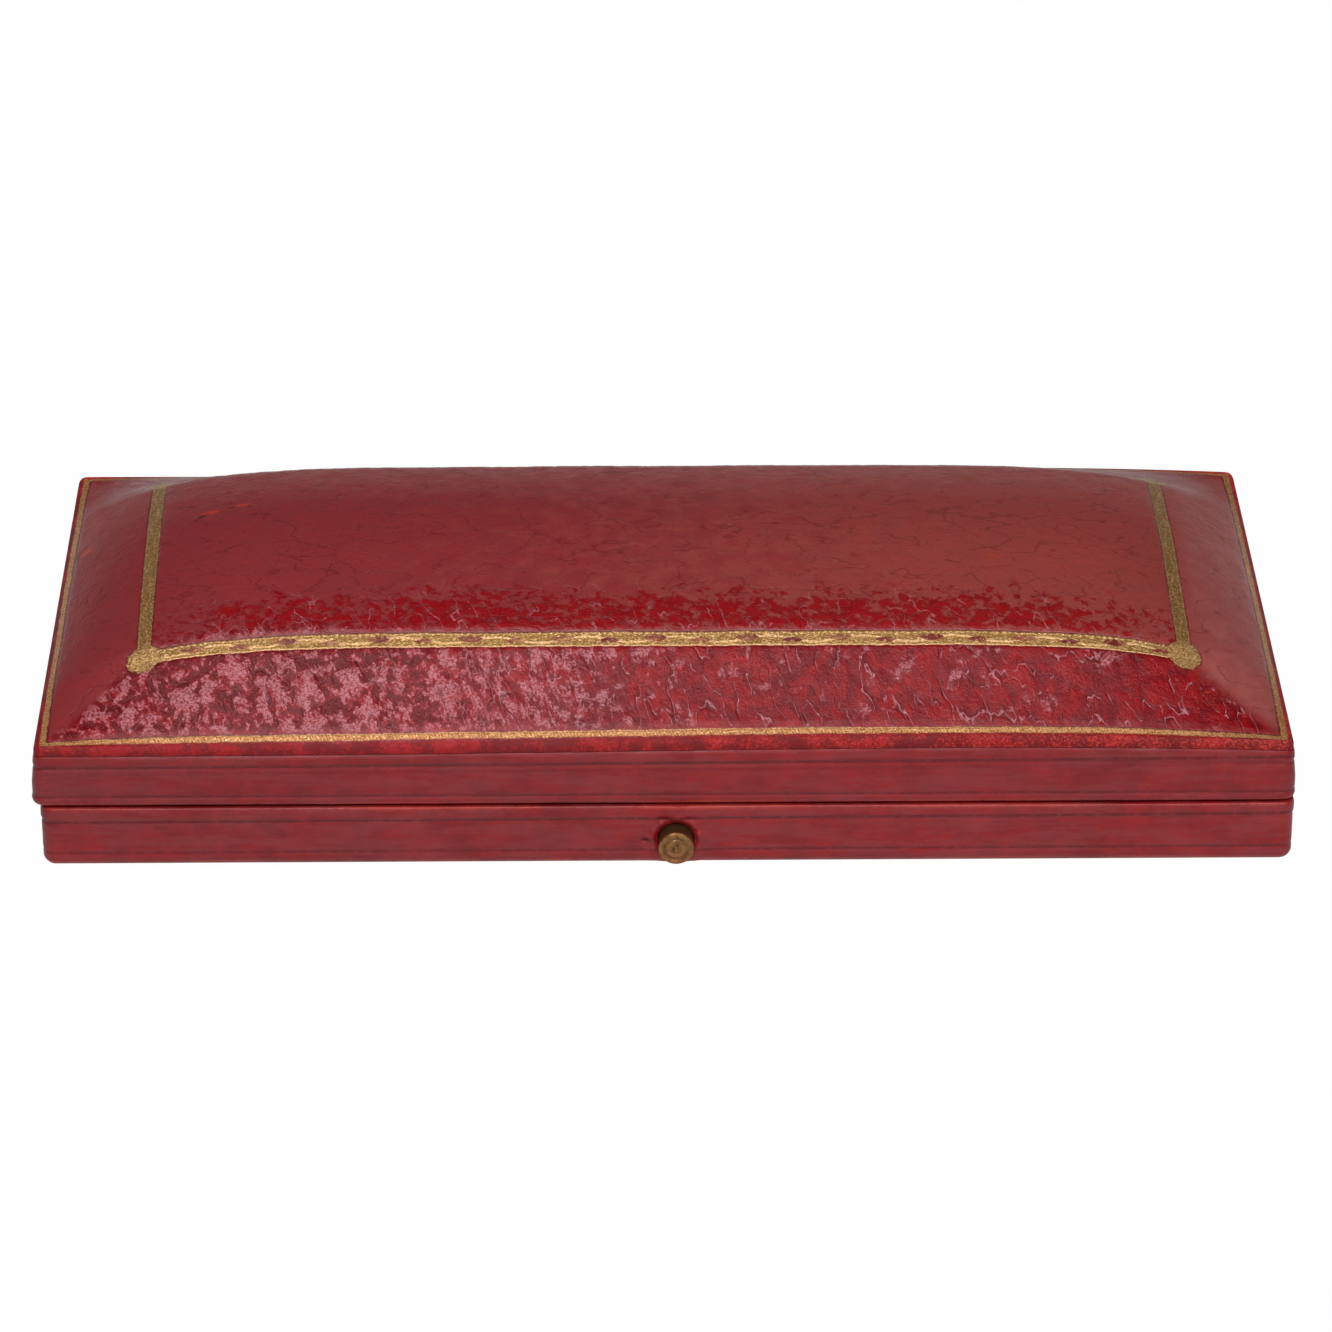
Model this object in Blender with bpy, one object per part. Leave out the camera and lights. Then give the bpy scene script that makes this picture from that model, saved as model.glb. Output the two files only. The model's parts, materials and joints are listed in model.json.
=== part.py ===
"""Leather-covered jewellery case with a domed lid, two butt hinges and a push-button latch.

Metres, +Z up. The case stands on its underside, its front faces -Y, and the origin is the middle of the
underside of its base.
"""

import math
from typing import NamedTuple

import bmesh
import bpy
from mathutils import Matrix, Vector

# Overall form
LID_LENGTH = 0.1300
LID_OVERHANG = 0.0008
BASE_LENGTH = LID_LENGTH - LID_OVERHANG
CASE_DEPTH = 0.0626
BASE_HEIGHT = 0.0071
PARTING_GAP = 0.0003
LID_SIDE_HEIGHT = 0.0066
EDGE_ARCH = 0.00042
DOME_RISE = 0.0093
DOME_X_POWER_SHARE = 6.0
BEVEL_SLOPE_SHARE = 0.63
PANEL_FALL_SHARE = 0.5
CREST_BLEND = 0.0004
ARCH_POWER_SHARE = 6.0
CORNER_RADIUS = 0.0010
INNER_CORNER_RADIUS = 0.0002

# Fits
GLUE_FIT = 0.00005
RUNNING_FIT = 0.0001
WELD = 0.000001
CUT_OVERRUN = 0.0010

# Leather
LEATHER = 0.0006
SKIN_DROP = 0.0007
SKIN_GAP = 0.0001
FOOT_RADIUS = 0.0012
FOOT_LIFT = 0.0001
TURN_IN = 0.0030
BOTTOM_LEATHER_GAP = 0.0003
BASE_RIM_RADIUS = 0.00025
LID_RIM_RADIUS = 0.0004
EDGE_RADIUS = 0.0010
SEAM_DROP = 0.0009
SEAM_ARCH = 0.00055
SEAM_GAP = 0.0001

# Carcass
BOARD_THICKNESS = 0.00175
BACK_RAIL = 0.0050
SIDE_RAIL = 0.0040
MITRE_TIP = 0.0004
LID_WALL_HEIGHT = 0.0041
PANEL_RECESS = 0.0025
RECESS_LEDGE = 0.0015

# Collars, linings and pads
COLLAR_THICKNESS = 0.0014
COLLAR_RISE = 0.0020
COLLAR_CLEARANCE = 0.0004
COLLAR_ROUND = 0.0004
LINING_THICKNESS = 0.0004
PAD_CARD = 0.0006
PAD_THICKNESS = 0.0017
PAD_GAP = 0.0003
PAD_ROUND = 0.0005
LID_CARD = 0.0005
LID_PAD = 0.0014
SLIT_LENGTH = 0.0120
SLIT_WIDTH = 0.0012
SLIT_DEPTH = 0.0011
SLIT_COLUMN_SHARE = 0.24
SLIT_ROW_SHARE = 0.215

# Push button
BUTTON_X = 0.0008
BUTTON_HEIGHT_SHARE = 0.437
BUTTON_Z = BASE_HEIGHT * BUTTON_HEIGHT_SHARE
BUTTON_RADIUS = 0.00185
BUTTON_BORE_CLEARANCE = 0.0001
BUTTON_PROUD = 0.0023
BUTTON_TRAVEL = 0.0008
BUTTON_EDGE = 0.00025
FACE_RING_INNER = 0.00105
FACE_RING_OUTER = 0.00140
FACE_RING_DEPTH = 0.00012
NIB_RADIUS = 0.00028
NIB_HEIGHT = 0.00022
RIVET_RADIUS = 0.0006
RIVET_HEAD_RADIUS = 0.0009
RIVET_HEAD_HEIGHT = 0.00025

# Latch, with depths counted inward from the front of the case
POCKET_FRONT = 0.0018
POCKET_FLOOR = 0.0017
POCKET_WALL = 0.00065
POCKET_SIDE_GAP = 0.0003
SLIDE_THICKNESS = 0.0005
SLIDE_WIDTH = 0.0070
STRIKE_CLEARANCE = 0.00115
SLIDE_FLANGE_RISE = 0.0010
SLIDE_FLANGE = 0.0004
LIP_BAR = 0.0008
WINDOW_WIDTH = 0.0040
HOOK_THICKNESS = 0.0005
HOOK_WIDTH = 0.0030
HOOK_NOSE = 0.0004
HOOK_NOSE_HEIGHT = 0.0006
HOOK_PLATE_LENGTH = 0.0104
HOOK_PLATE_DEPTH = 0.0044
HOOK_PIN_END_DISTANCE = 0.0014
SPRING_THICKNESS = 0.00018
SPRING_WIDTH = 0.0018
SPRING_LENGTH = 0.0066
SPRING_RISE = 0.0009
SPRING_ROOM = 0.0012
PLATE_THICKNESS = 0.00055
STRIKE_LENGTH = 0.0126
STRIKE_FRONT = 0.0016
STRIKE_BACK = 0.0066
STRIKE_PIN_END_DISTANCE = 0.0013
SLOT_FRONT = 0.0029
SLOT_BACK = 0.0047
SLOT_WIDTH = 0.0040

# Hinges, with depths counted inward from the back of the case
LID_OPEN_DEGREES = 100.0
BEVEL_SPARE_DEGREES = 1.0
HINGE_END_DISTANCE = 0.0266
HINGE_LENGTH = 0.0120
HINGE_INSET = 0.0005
KNUCKLE_RADIUS = 0.0008
KNUCKLE_GAP = 0.0002
KNUCKLE_CLEARANCE = 0.00015
PIN_RADIUS = 0.00035
PIN_OVERHANG = 0.0003
LEAF_DEPTH = 0.0044
LEAF_SEAT_GAP = 0.0001
NAIL_END_DISTANCE = 0.0025
NAIL_DEPTH = 0.0031

# Nails and small pins
NAIL_HEAD_RADIUS = 0.00070
NAIL_HEAD_HEIGHT = 0.00035
NAIL_SHANK_RADIUS = 0.00035
NAIL_LENGTH = 0.0030
NAIL_POINT = 0.0006
NAIL_CLEARANCE = 0.00006

# Counts
CORNER_STEPS = 2
FOOT_STEPS = 4
RIM_STEPS = 2
EDGE_STEPS = 3
DOME_X_STEPS = 22
DOME_Y_STEPS = 18
ROUND_STEPS = 24
SMALL_ROUND_STEPS = 12
BARREL_STEPS = 18
SPRING_STEPS = 12
SMOOTH_ANGLE = math.radians(35)


class Rect(NamedTuple):
    """A rectangle in plan."""

    x0: float
    x1: float
    y0: float
    y1: float

    def grown(self, by):
        return Rect(self.x0 - by, self.x1 + by, self.y0 - by, self.y1 + by)

    def corners(self):
        return [
            Vector((self.x0, self.y0)),
            Vector((self.x1, self.y0)),
            Vector((self.x1, self.y1)),
            Vector((self.x0, self.y1)),
        ]


class Section(NamedTuple):
    """One level outline of a loft; its arch lifts it at mid length."""

    rect: Rect
    radius: float
    z: float
    arch: float = 0.0


class Finish(NamedTuple):
    """Colour, roughness and metallic value of a material."""

    name: str
    colour: tuple
    roughness: float
    metallic: float = 0.0


RED_LEATHER = Finish("red_leather", (0.30, 0.012, 0.022, 1), 0.42)
BOTTOM_LEATHER = Finish("bottom_leather", (0.20, 0.010, 0.016, 1), 0.60)
WOOD = Finish("limewood", (0.55, 0.38, 0.22, 1), 0.65)
VELVET = Finish("ivory_velvet", (0.72, 0.64, 0.48, 1), 0.95)
SATIN = Finish("cream_satin", (0.80, 0.73, 0.58, 1), 0.40)
CARD = Finish("card", (0.50, 0.43, 0.33, 1), 0.85)
BRASS = Finish("brass", (0.55, 0.36, 0.13, 1), 0.35, 1.0)
STEEL = Finish("spring_steel", (0.45, 0.44, 0.42, 1), 0.35, 1.0)

# Outlines in plan
BASE_OUT = Rect(-BASE_LENGTH / 2, BASE_LENGTH / 2, -CASE_DEPTH / 2, CASE_DEPTH / 2)
LID_OUT = Rect(BASE_OUT.x1 - LID_LENGTH, BASE_OUT.x1, BASE_OUT.y0, BASE_OUT.y1)
LID_MID_X = (LID_OUT.x0 + LID_OUT.x1) / 2
SLIDE_FRONT = POCKET_FRONT + RUNNING_FIT
WINDOW_FRONT = SLIDE_FRONT + SLIDE_THICKNESS + RUNNING_FIT
HOOK_FRONT = WINDOW_FRONT + BUTTON_TRAVEL + RUNNING_FIT
NOSE_TIP = HOOK_FRONT + HOOK_THICKNESS + HOOK_NOSE
WINDOW_BACK = NOSE_TIP + RUNNING_FIT
SLIDE_BACK = WINDOW_BACK + LIP_BAR
POCKET_BACK = SLIDE_BACK + SPRING_ROOM
RAILS_OUT = BASE_OUT.grown(-LEATHER - GLUE_FIT)
RAILS_IN = Rect(
    RAILS_OUT.x0 + SIDE_RAIL,
    RAILS_OUT.x1 - SIDE_RAIL,
    BASE_OUT.y0 + POCKET_BACK + POCKET_WALL,
    RAILS_OUT.y1 - BACK_RAIL,
)
COLLAR_OUT = RAILS_IN.grown(-GLUE_FIT)
COLLAR_IN = COLLAR_OUT.grown(-COLLAR_THICKNESS)
LINING_IN = COLLAR_OUT.grown(COLLAR_CLEARANCE)
LINING_OUT = LINING_IN.grown(LINING_THICKNESS)
LID_RAILS_OUT = LID_OUT.grown(-LEATHER - GLUE_FIT)
LID_RAILS_IN = LINING_OUT.grown(GLUE_FIT)
RECESS = LINING_IN.grown(-RECESS_LEDGE)

# Levels
BOARD_Z0 = FOOT_LIFT + LEATHER + GLUE_FIT
BOARD_Z1 = BOARD_Z0 + BOARD_THICKNESS
RAIL_Z0 = BOARD_Z1 + GLUE_FIT
RAIL_Z1 = BASE_HEIGHT - LEATHER - GLUE_FIT
LID_RIM = BASE_HEIGHT + PARTING_GAP
LID_RAIL_Z0 = LID_RIM + LEATHER + GLUE_FIT
PANEL_Z0 = LID_RIM + LID_WALL_HEIGHT
LID_EDGE = LID_RIM + LID_SIDE_HEIGHT
SEAM_Z = LID_EDGE - SEAM_DROP
RECESS_Z = PANEL_Z0 + PANEL_RECESS
SLIDE_Z0 = POCKET_FLOOR + RUNNING_FIT + RUNNING_FIT
SLIDE_Z1 = BASE_HEIGHT - PLATE_THICKNESS - STRIKE_CLEARANCE
FLANGE_Z0 = SLIDE_Z0 + SLIDE_FLANGE_RISE
HINGE_Y = BASE_OUT.y1 - HINGE_INSET
HINGE_Z = BASE_HEIGHT + PARTING_GAP / 2
HINGE_X = BASE_LENGTH / 2 - HINGE_END_DISTANCE


def front(depth):
    """The Y of a depth counted inward from the front."""
    return BASE_OUT.y0 + depth


def back(depth):
    """The Y of a depth counted inward from the back."""
    return BASE_OUT.y1 - depth


def clear_scene():
    for old in list(bpy.data.objects):
        bpy.data.objects.remove(old, do_unlink=True)


def material_for(finish):
    """The finish as a Principled material, made once."""
    found = bpy.data.materials.get(finish.name)
    if found:
        return found
    made = bpy.data.materials.new(finish.name)
    made.use_nodes = True
    shader = made.node_tree.nodes["Principled BSDF"]
    shader.inputs["Base Color"].default_value = finish.colour
    shader.inputs["Roughness"].default_value = finish.roughness
    shader.inputs["Metallic"].default_value = finish.metallic
    made.diffuse_color = finish.colour
    return made


def add_object(name, mesh_maker, finish=None, parent=None):
    """Turns a finished bmesh into an object, with its faces pointing out."""
    bmesh.ops.recalc_face_normals(mesh_maker, faces=mesh_maker.faces[:])
    mesh = bpy.data.meshes.new(name)
    mesh_maker.to_mesh(mesh)
    mesh_maker.free()
    mesh.shade_smooth()
    mesh.set_sharp_from_angle(angle=SMOOTH_ANGLE)
    made = bpy.data.objects.new(name, mesh)
    bpy.context.scene.collection.objects.link(made)
    if finish:
        mesh.materials.append(material_for(finish))
    else:
        made.hide_render = True
        made.display_type = "WIRE"
    if parent:
        made.parent = parent
        made.matrix_parent_inverse = Matrix.Translation(-parent.location)
    return made


def axis_empty(name, place):
    """An empty on a joint's axis, which the pieces of its body hang from."""
    made = bpy.data.objects.new(name, None)
    made.location = place
    bpy.context.scene.collection.objects.link(made)
    return made


def boolean(target, tool, operation):
    modifier = target.modifiers.new(f"{operation.lower()}_{tool.name}"[:60], "BOOLEAN")
    modifier.operation = operation
    modifier.solver = "EXACT"
    modifier.object = tool


def cut(tool, *targets):
    for target in targets:
        boolean(target, tool, "DIFFERENCE")


def soften(target, width, segments=2):
    """Rounds the sharp edges of a piece."""
    modifier = target.modifiers.new("rounded_edges", "BEVEL")
    modifier.width = width
    modifier.segments = segments
    modifier.limit_method = "ANGLE"
    modifier.angle_limit = SMOOTH_ANGLE


def prism(name, outline, offset, finish=None, parent=None):
    """A flat outline of 3-D points, extruded by an offset."""
    made = bmesh.new()
    face = made.faces.new([made.verts.new(point) for point in outline])
    grown = bmesh.ops.extrude_face_region(made, geom=[face])["geom"]
    moved = [item for item in grown if isinstance(item, bmesh.types.BMVert)]
    bmesh.ops.translate(made, verts=moved, vec=offset)
    return add_object(name, made, finish, parent)


def plate(name, rect, z0, z1, finish=None, parent=None):
    """A rectangular block between two levels."""
    outline = [(corner.x, corner.y, z0) for corner in rect.corners()]
    return prism(name, outline, Vector((0, 0, z1 - z0)), finish, parent)


def profile_along_x(name, profile, x0, x1, finish=None, parent=None):
    """A profile of Y and Z points, extruded along X."""
    outline = [(x0, y, z) for y, z in profile]
    return prism(name, outline, Vector((x1 - x0, 0, 0)), finish, parent)


def turned(name, profile, origin, direction, steps, finish=None, parent=None):
    """A profile of radius and distance along an axis, turned about that axis."""
    made = bmesh.new()
    points = [made.verts.new((radius, 0, along)) for radius, along in profile]
    edges = [made.edges.new(pair) for pair in zip(points, points[1:])]
    bmesh.ops.spin(
        made,
        geom=points + edges,
        cent=(0, 0, 0),
        axis=(0, 0, 1),
        angle=math.tau,
        steps=steps,
        use_merge=True,
    )
    bmesh.ops.remove_doubles(made, verts=made.verts[:], dist=WELD)
    turn = Vector(direction).to_track_quat("Z", "Y").to_matrix().to_4x4()
    bmesh.ops.transform(made, matrix=Matrix.Translation(origin) @ turn, verts=made.verts[:])
    return add_object(name, made, finish, parent)


def rod(name, radius, start, end, steps, finish=None, parent=None):
    """A plain round bar between two points."""
    run = Vector(end) - Vector(start)
    profile = [(0, 0), (radius, 0), (radius, run.length), (0, run.length)]
    return turned(name, profile, start, run, steps, finish, parent)


def stations(low, high, radius, steps):
    """Places along one side: closely set over each corner, then spread by a sine between them."""
    corner = [radius * step / CORNER_STEPS for step in range(CORNER_STEPS)]
    middle = (low + high) / 2
    half = (high - low) / 2 - radius
    turns = [math.pi * (step / steps - 1 / 2) for step in range(steps + 1)]
    between = [middle + half * math.sin(turn) for turn in turns]
    return [low + x for x in corner] + between + [high - x for x in reversed(corner)]


def rounded(x, y, rect, radius):
    """Draws a point of the square corner in, so that the outline follows the corner's arc."""
    side_x = 1 if x > (rect.x0 + rect.x1) / 2 else -1
    side_y = 1 if y > (rect.y0 + rect.y1) / 2 else -1
    past_x = side_x * x - (rect.x1 * side_x if side_x > 0 else -rect.x0) + radius
    past_y = side_y * y - (rect.y1 * side_y if side_y > 0 else -rect.y0) + radius
    if past_x <= 0 or past_y <= 0:
        return x, y
    drawn = 1 - max(past_x, past_y) / math.hypot(past_x, past_y)
    return x - side_x * past_x * drawn, y - side_y * past_y * drawn


def perimeter(rect, radius, x_steps, y_steps):
    """The rounded outline's points in order, from the front left."""
    xs = stations(rect.x0, rect.x1, radius, x_steps)
    ys = stations(rect.y0, rect.y1, radius, y_steps)
    walk = [(x, rect.y0) for x in xs]
    walk += [(rect.x1, y) for y in ys[1:]]
    walk += [(x, rect.y1) for x in reversed(xs[:-1])]
    walk += [(rect.x0, y) for y in reversed(ys[1:-1])]
    return [rounded(x, y, rect, radius) for x, y in walk]


def corner_radius(inset):
    """The corner radius of an outline that lies this far inside the leather's outer face."""
    return max(CORNER_RADIUS - inset, INNER_CORNER_RADIUS)


def inset_section(rect, inset, z, arch=0.0):
    return Section(rect.grown(-inset), corner_radius(inset), z, arch)


def arch_share(x):
    """How much of an arch's height stands at x: none at the lid's ends, all at its middle."""
    return 1 - ((x - LID_MID_X) / (LID_LENGTH / 2)) ** 2


def section_loop(made, section, x_steps, y_steps):
    return [
        made.verts.new((x, y, section.z + section.arch * arch_share(x)))
        for x, y in perimeter(section.rect, section.radius, x_steps, y_steps)
    ]


def bridge(made, lower, upper):
    """Quads between two loops that run the same way."""
    count = len(lower)
    for index in range(count):
        after = (index + 1) % count
        made.faces.new((lower[index], lower[after], upper[after], upper[index]))


def loft(name, sections, closed, finish, x_steps=1, y_steps=1):
    """Outlines bridged in order: a closed chain makes a ring, an open one is capped at both ends."""
    made = bmesh.new()
    loops = [section_loop(made, section, x_steps, y_steps) for section in sections]
    for lower, upper in zip(loops, loops[1:]):
        bridge(made, lower, upper)
    if closed:
        bridge(made, loops[-1], loops[0])
    else:
        made.faces.new(loops[0])
        made.faces.new(loops[-1])
    return add_object(name, made, finish)


def cross_rise(y):
    """The lid's cross-section above its edge: two bevels with a gently domed panel between soft crests."""
    bevel = (CASE_DEPTH / 2 - abs(y)) * BEVEL_SLOPE_SHARE
    y_share = abs(y) / (CASE_DEPTH / 2)
    panel = DOME_RISE * (1 - PANEL_FALL_SHARE * y_share**2)
    overlap = max(CREST_BLEND - abs(bevel - panel), 0)
    return min(bevel, panel) - overlap**2 / CREST_BLEND / 4


def dome_height(x, y):
    """The outer face of the lid: the cross-section falls away to both ends, over an arched edge."""
    x_share = abs(x - LID_MID_X) / (LID_LENGTH / 2)
    y_share = abs(y) / (CASE_DEPTH / 2)
    arch = EDGE_ARCH * arch_share(x) * y_share**ARCH_POWER_SHARE
    return LID_EDGE + arch + cross_rise(y) * (1 - x_share**DOME_X_POWER_SHARE)


def dome_grid(made, rect, radius, drop):
    """A grid draped over the dome, lowered by a drop; returns its rim in order."""
    xs = stations(rect.x0, rect.x1, radius, DOME_X_STEPS)
    ys = stations(rect.y0, rect.y1, radius, DOME_Y_STEPS)
    columns = len(xs) - 1
    rows = len(ys) - 1
    grid = bmesh.ops.create_grid(made, x_segments=columns, y_segments=rows, size=1)["verts"]
    at = {}
    for vert in grid:
        column = round((vert.co.x + 1) / 2 * columns)
        row = round((vert.co.y + 1) / 2 * rows)
        x, y = rounded(xs[column], ys[row], rect, radius)
        vert.co = (x, y, dome_height(x, y) - drop)
        at[column, row] = vert
    walk = [(column, 0) for column in range(columns + 1)]
    walk += [(columns, row) for row in range(1, rows + 1)]
    walk += [(column, rows) for column in reversed(range(columns))]
    walk += [(0, row) for row in reversed(range(1, rows))]
    return [at[place] for place in walk]


def rail(name, outer, inner, side, z0, z1, finish, parent=None):
    """One mitred side of a frame: side 0 is the front, then right, back and left."""
    start, end = outer.corners()[side], outer.corners()[(side + 1) % 4]
    start_in, end_in = inner.corners()[side], inner.corners()[(side + 1) % 4]
    run = (end - start).normalized()
    across = Vector((-run.y, run.x))
    tip_share = min(MITRE_TIP / (start_in - start).dot(across), 1)
    fit = run * GLUE_FIT
    plan = [
        start + run * MITRE_TIP,
        end - run * MITRE_TIP,
        end.lerp(end_in, tip_share) - fit,
        end_in - fit,
        start_in + fit,
        start.lerp(start_in, tip_share) + fit,
    ]
    outline = [(point.x, point.y, z0) for point in plan]
    return prism(name, outline, Vector((0, 0, z1 - z0)), finish, parent)


def frame_of_rails(prefix, suffix, outer, inner, z0, z1, finish, parent=None):
    sides = ("front", "right", "back", "left")
    return {
        side: rail(f"{prefix}_{side}{suffix}", outer, inner, index, z0, z1, finish, parent)
        for index, side in enumerate(sides)
    }


def arc_sections(rect, radius, z, steps, thickness=0.0):
    """The rounded lower outer edge of a leather ring, or its inner face at a thickness, going up."""
    sections = []
    for step in range(steps + 1):
        turn = math.pi / 2 * step / steps
        reach = radius - thickness
        inset = radius - reach * math.sin(turn)
        height = z + radius - reach * math.cos(turn)
        sections.append(inset_section(rect, inset, height))
    return sections


def base_side_leather():
    """The strip round the base, from its turn-in underneath to its turn-over on the rim."""
    outside = arc_sections(BASE_OUT, FOOT_RADIUS, FOOT_LIFT, FOOT_STEPS)
    inside = arc_sections(BASE_OUT, FOOT_RADIUS, FOOT_LIFT, FOOT_STEPS, LEATHER)
    rim = []
    for step in range(RIM_STEPS + 1):
        turn = math.pi / 2 * step / RIM_STEPS
        inset = BASE_RIM_RADIUS * (1 - math.cos(turn))
        height = BASE_HEIGHT - BASE_RIM_RADIUS * (1 - math.sin(turn))
        rim.append(inset_section(BASE_OUT, inset, height))
    under = BASE_HEIGHT - LEATHER
    sections = [inset_section(BASE_OUT, TURN_IN, FOOT_LIFT)]
    sections += outside + rim
    sections += [
        Section(RAILS_IN, INNER_CORNER_RADIUS, BASE_HEIGHT),
        Section(RAILS_IN, INNER_CORNER_RADIUS, under),
        inset_section(BASE_OUT, LEATHER, under),
    ]
    sections += list(reversed(inside))
    sections += [inset_section(BASE_OUT, TURN_IN, FOOT_LIFT + LEATHER)]
    return loft("base_side_leather", sections, True, RED_LEATHER)


def base_board():
    """The bottom board, its lower edge rounded to lie in the leather."""
    sections = []
    for section in arc_sections(BASE_OUT, FOOT_RADIUS, FOOT_LIFT, FOOT_STEPS, LEATHER):
        sections.append(
            Section(section.rect.grown(-GLUE_FIT), section.radius, section.z + GLUE_FIT)
        )
    top = sections[-1]
    sections.append(Section(top.rect, top.radius, BOARD_Z1))
    return loft("base_board", sections, False, WOOD)


def base_bottom_leather():
    rect = BASE_OUT.grown(-TURN_IN - BOTTOM_LEATHER_GAP)
    sections = [
        Section(rect, CORNER_RADIUS, 0),
        Section(rect, CORNER_RADIUS, FOOT_LIFT + LEATHER),
    ]
    return loft("base_bottom_leather", sections, False, BOTTOM_LEATHER)


def lid_side_leather():
    """The strip round the lid, from the seam down and over the rim."""
    under = LID_RIM + LEATHER
    seam = SEAM_Z - SEAM_GAP
    sections = [Section(LID_RAILS_IN, INNER_CORNER_RADIUS, LID_RIM)]
    sections += arc_sections(LID_OUT, LID_RIM_RADIUS, LID_RIM, RIM_STEPS + 1)
    sections += [
        inset_section(LID_OUT, 0, seam, SEAM_ARCH),
        inset_section(LID_OUT, LEATHER, seam, SEAM_ARCH),
        inset_section(LID_OUT, LEATHER, under),
        Section(LID_RAILS_IN, INNER_CORNER_RADIUS, under),
    ]
    return loft("lid_side_leather", sections, True, RED_LEATHER, DOME_X_STEPS, 1)


def lid_top_leather():
    """The domed skin, rounded over the edge and down to the seam."""
    made = bmesh.new()
    slope = math.atan(BEVEL_SLOPE_SHARE)
    full_turn = math.pi / 2 - slope
    below = EDGE_RADIUS * math.tan(full_turn / 2)
    loops = [
        inset_section(LID_OUT, LEATHER, SEAM_Z, SEAM_ARCH),
        inset_section(LID_OUT, 0, SEAM_Z, SEAM_ARCH),
    ]
    for step in range(EDGE_STEPS):
        turn = full_turn * step / EDGE_STEPS
        inset = EDGE_RADIUS * (1 - math.cos(turn))
        height = LID_EDGE - below + EDGE_RADIUS * math.sin(turn)
        loops.append(inset_section(LID_OUT, inset, height, EDGE_ARCH))
    rings = [section_loop(made, loop, DOME_X_STEPS, DOME_Y_STEPS) for loop in loops]
    top_inset = EDGE_RADIUS * (1 - math.cos(full_turn))
    top = dome_grid(made, LID_OUT.grown(-top_inset), corner_radius(top_inset), 0)
    under = dome_grid(made, LID_OUT.grown(-LEATHER), corner_radius(LEATHER), SKIN_DROP)
    chain = [under] + rings + [top]
    for lower, upper in zip(chain, chain[1:]):
        bridge(made, lower, upper)
    return add_object("lid_top_leather", made, RED_LEATHER)


def lid_panel():
    """The carved wooden top, flat below and domed to lie under the leather."""
    made = bmesh.new()
    radius = corner_radius(LEATHER + GLUE_FIT)
    top = dome_grid(made, LID_RAILS_OUT, radius, SKIN_DROP + SKIN_GAP)
    level = Section(LID_RAILS_OUT, radius, PANEL_Z0)
    bottom = section_loop(made, level, DOME_X_STEPS, DOME_Y_STEPS)
    bridge(made, bottom, top)
    made.faces.new(bottom)
    panel = add_object("lid_panel", made, WOOD)
    cut(plate("panel_recess_cutter", RECESS, PANEL_Z0 - CUT_OVERRUN, RECESS_Z), panel)
    return panel


def nail_profile(clearance=0.0, overrun=0.0):
    """Radius and depth below the surface of a countersunk nail, or of its hole."""
    shank = NAIL_SHANK_RADIUS + clearance
    head = NAIL_HEAD_RADIUS + clearance
    start = [(0, -overrun), (head, -overrun)]
    if overrun:
        start.append((head, 0))
    return start + [
        (shank, NAIL_HEAD_HEIGHT),
        (shank, NAIL_LENGTH - NAIL_POINT + clearance),
        (0, NAIL_LENGTH + clearance),
    ]


def nail(name, place, direction, targets, parent=None):
    """A nail driven along a direction from a surface, with its hole in each piece that it holds."""
    hole = turned(
        f"{name}_cutter",
        nail_profile(NAIL_CLEARANCE, CUT_OVERRUN),
        place,
        direction,
        SMALL_ROUND_STEPS,
    )
    cut(hole, *targets)
    return turned(name, nail_profile(), place, direction, SMALL_ROUND_STEPS, BRASS, parent)


def leaf_plan(x, centre_tongue):
    """A hinge leaf in plan: it reaches the axis where it carries a knuckle, and stops short elsewhere."""
    half = HINGE_LENGTH / 2
    centre = HINGE_LENGTH / 6
    notch = HINGE_INSET + KNUCKLE_RADIUS + KNUCKLE_CLEARANCE
    if centre_tongue:
        steps = [(-half, notch), (-centre, notch), (-centre, HINGE_INSET)]
        steps += [(centre, HINGE_INSET), (centre, notch), (half, notch)]
    else:
        inner = centre + KNUCKLE_GAP
        steps = [(-half, HINGE_INSET), (-inner, HINGE_INSET), (-inner, notch)]
        steps += [(inner, notch), (inner, HINGE_INSET), (half, HINGE_INSET)]
    outline = [(-half, LEAF_DEPTH)] + steps + [(half, LEAF_DEPTH)]
    return [(x + along, back(depth)) for along, depth in outline]


def hinge_leaf(name, x, z0, centre_tongue, parent=None):
    """A leaf and its knuckles, bored for the pin."""
    outline = [(px, py, z0) for px, py in leaf_plan(x, centre_tongue)]
    leaf = prism(name, outline, Vector((0, 0, PLATE_THICKNESS)), BRASS, parent)
    half = HINGE_LENGTH / 2
    centre = HINGE_LENGTH / 6
    inner = centre + KNUCKLE_GAP
    spans = [(-centre, centre)] if centre_tongue else [(-half, -inner), (inner, half)]
    for index, (start, end) in enumerate(spans):
        knuckle = rod(
            f"{name}_knuckle_{index}_guide",
            KNUCKLE_RADIUS,
            (x + start, HINGE_Y, HINGE_Z),
            (x + end, HINGE_Y, HINGE_Z),
            BARREL_STEPS,
        )
        boolean(leaf, knuckle, "UNION")
    bore = rod(
        f"{name}_bore_cutter",
        PIN_RADIUS + GLUE_FIT,
        (x - half - CUT_OVERRUN, HINGE_Y, HINGE_Z),
        (x + half + CUT_OVERRUN, HINGE_Y, HINGE_Z),
        SMALL_ROUND_STEPS,
    )
    cut(bore, leaf)
    return leaf


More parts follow.
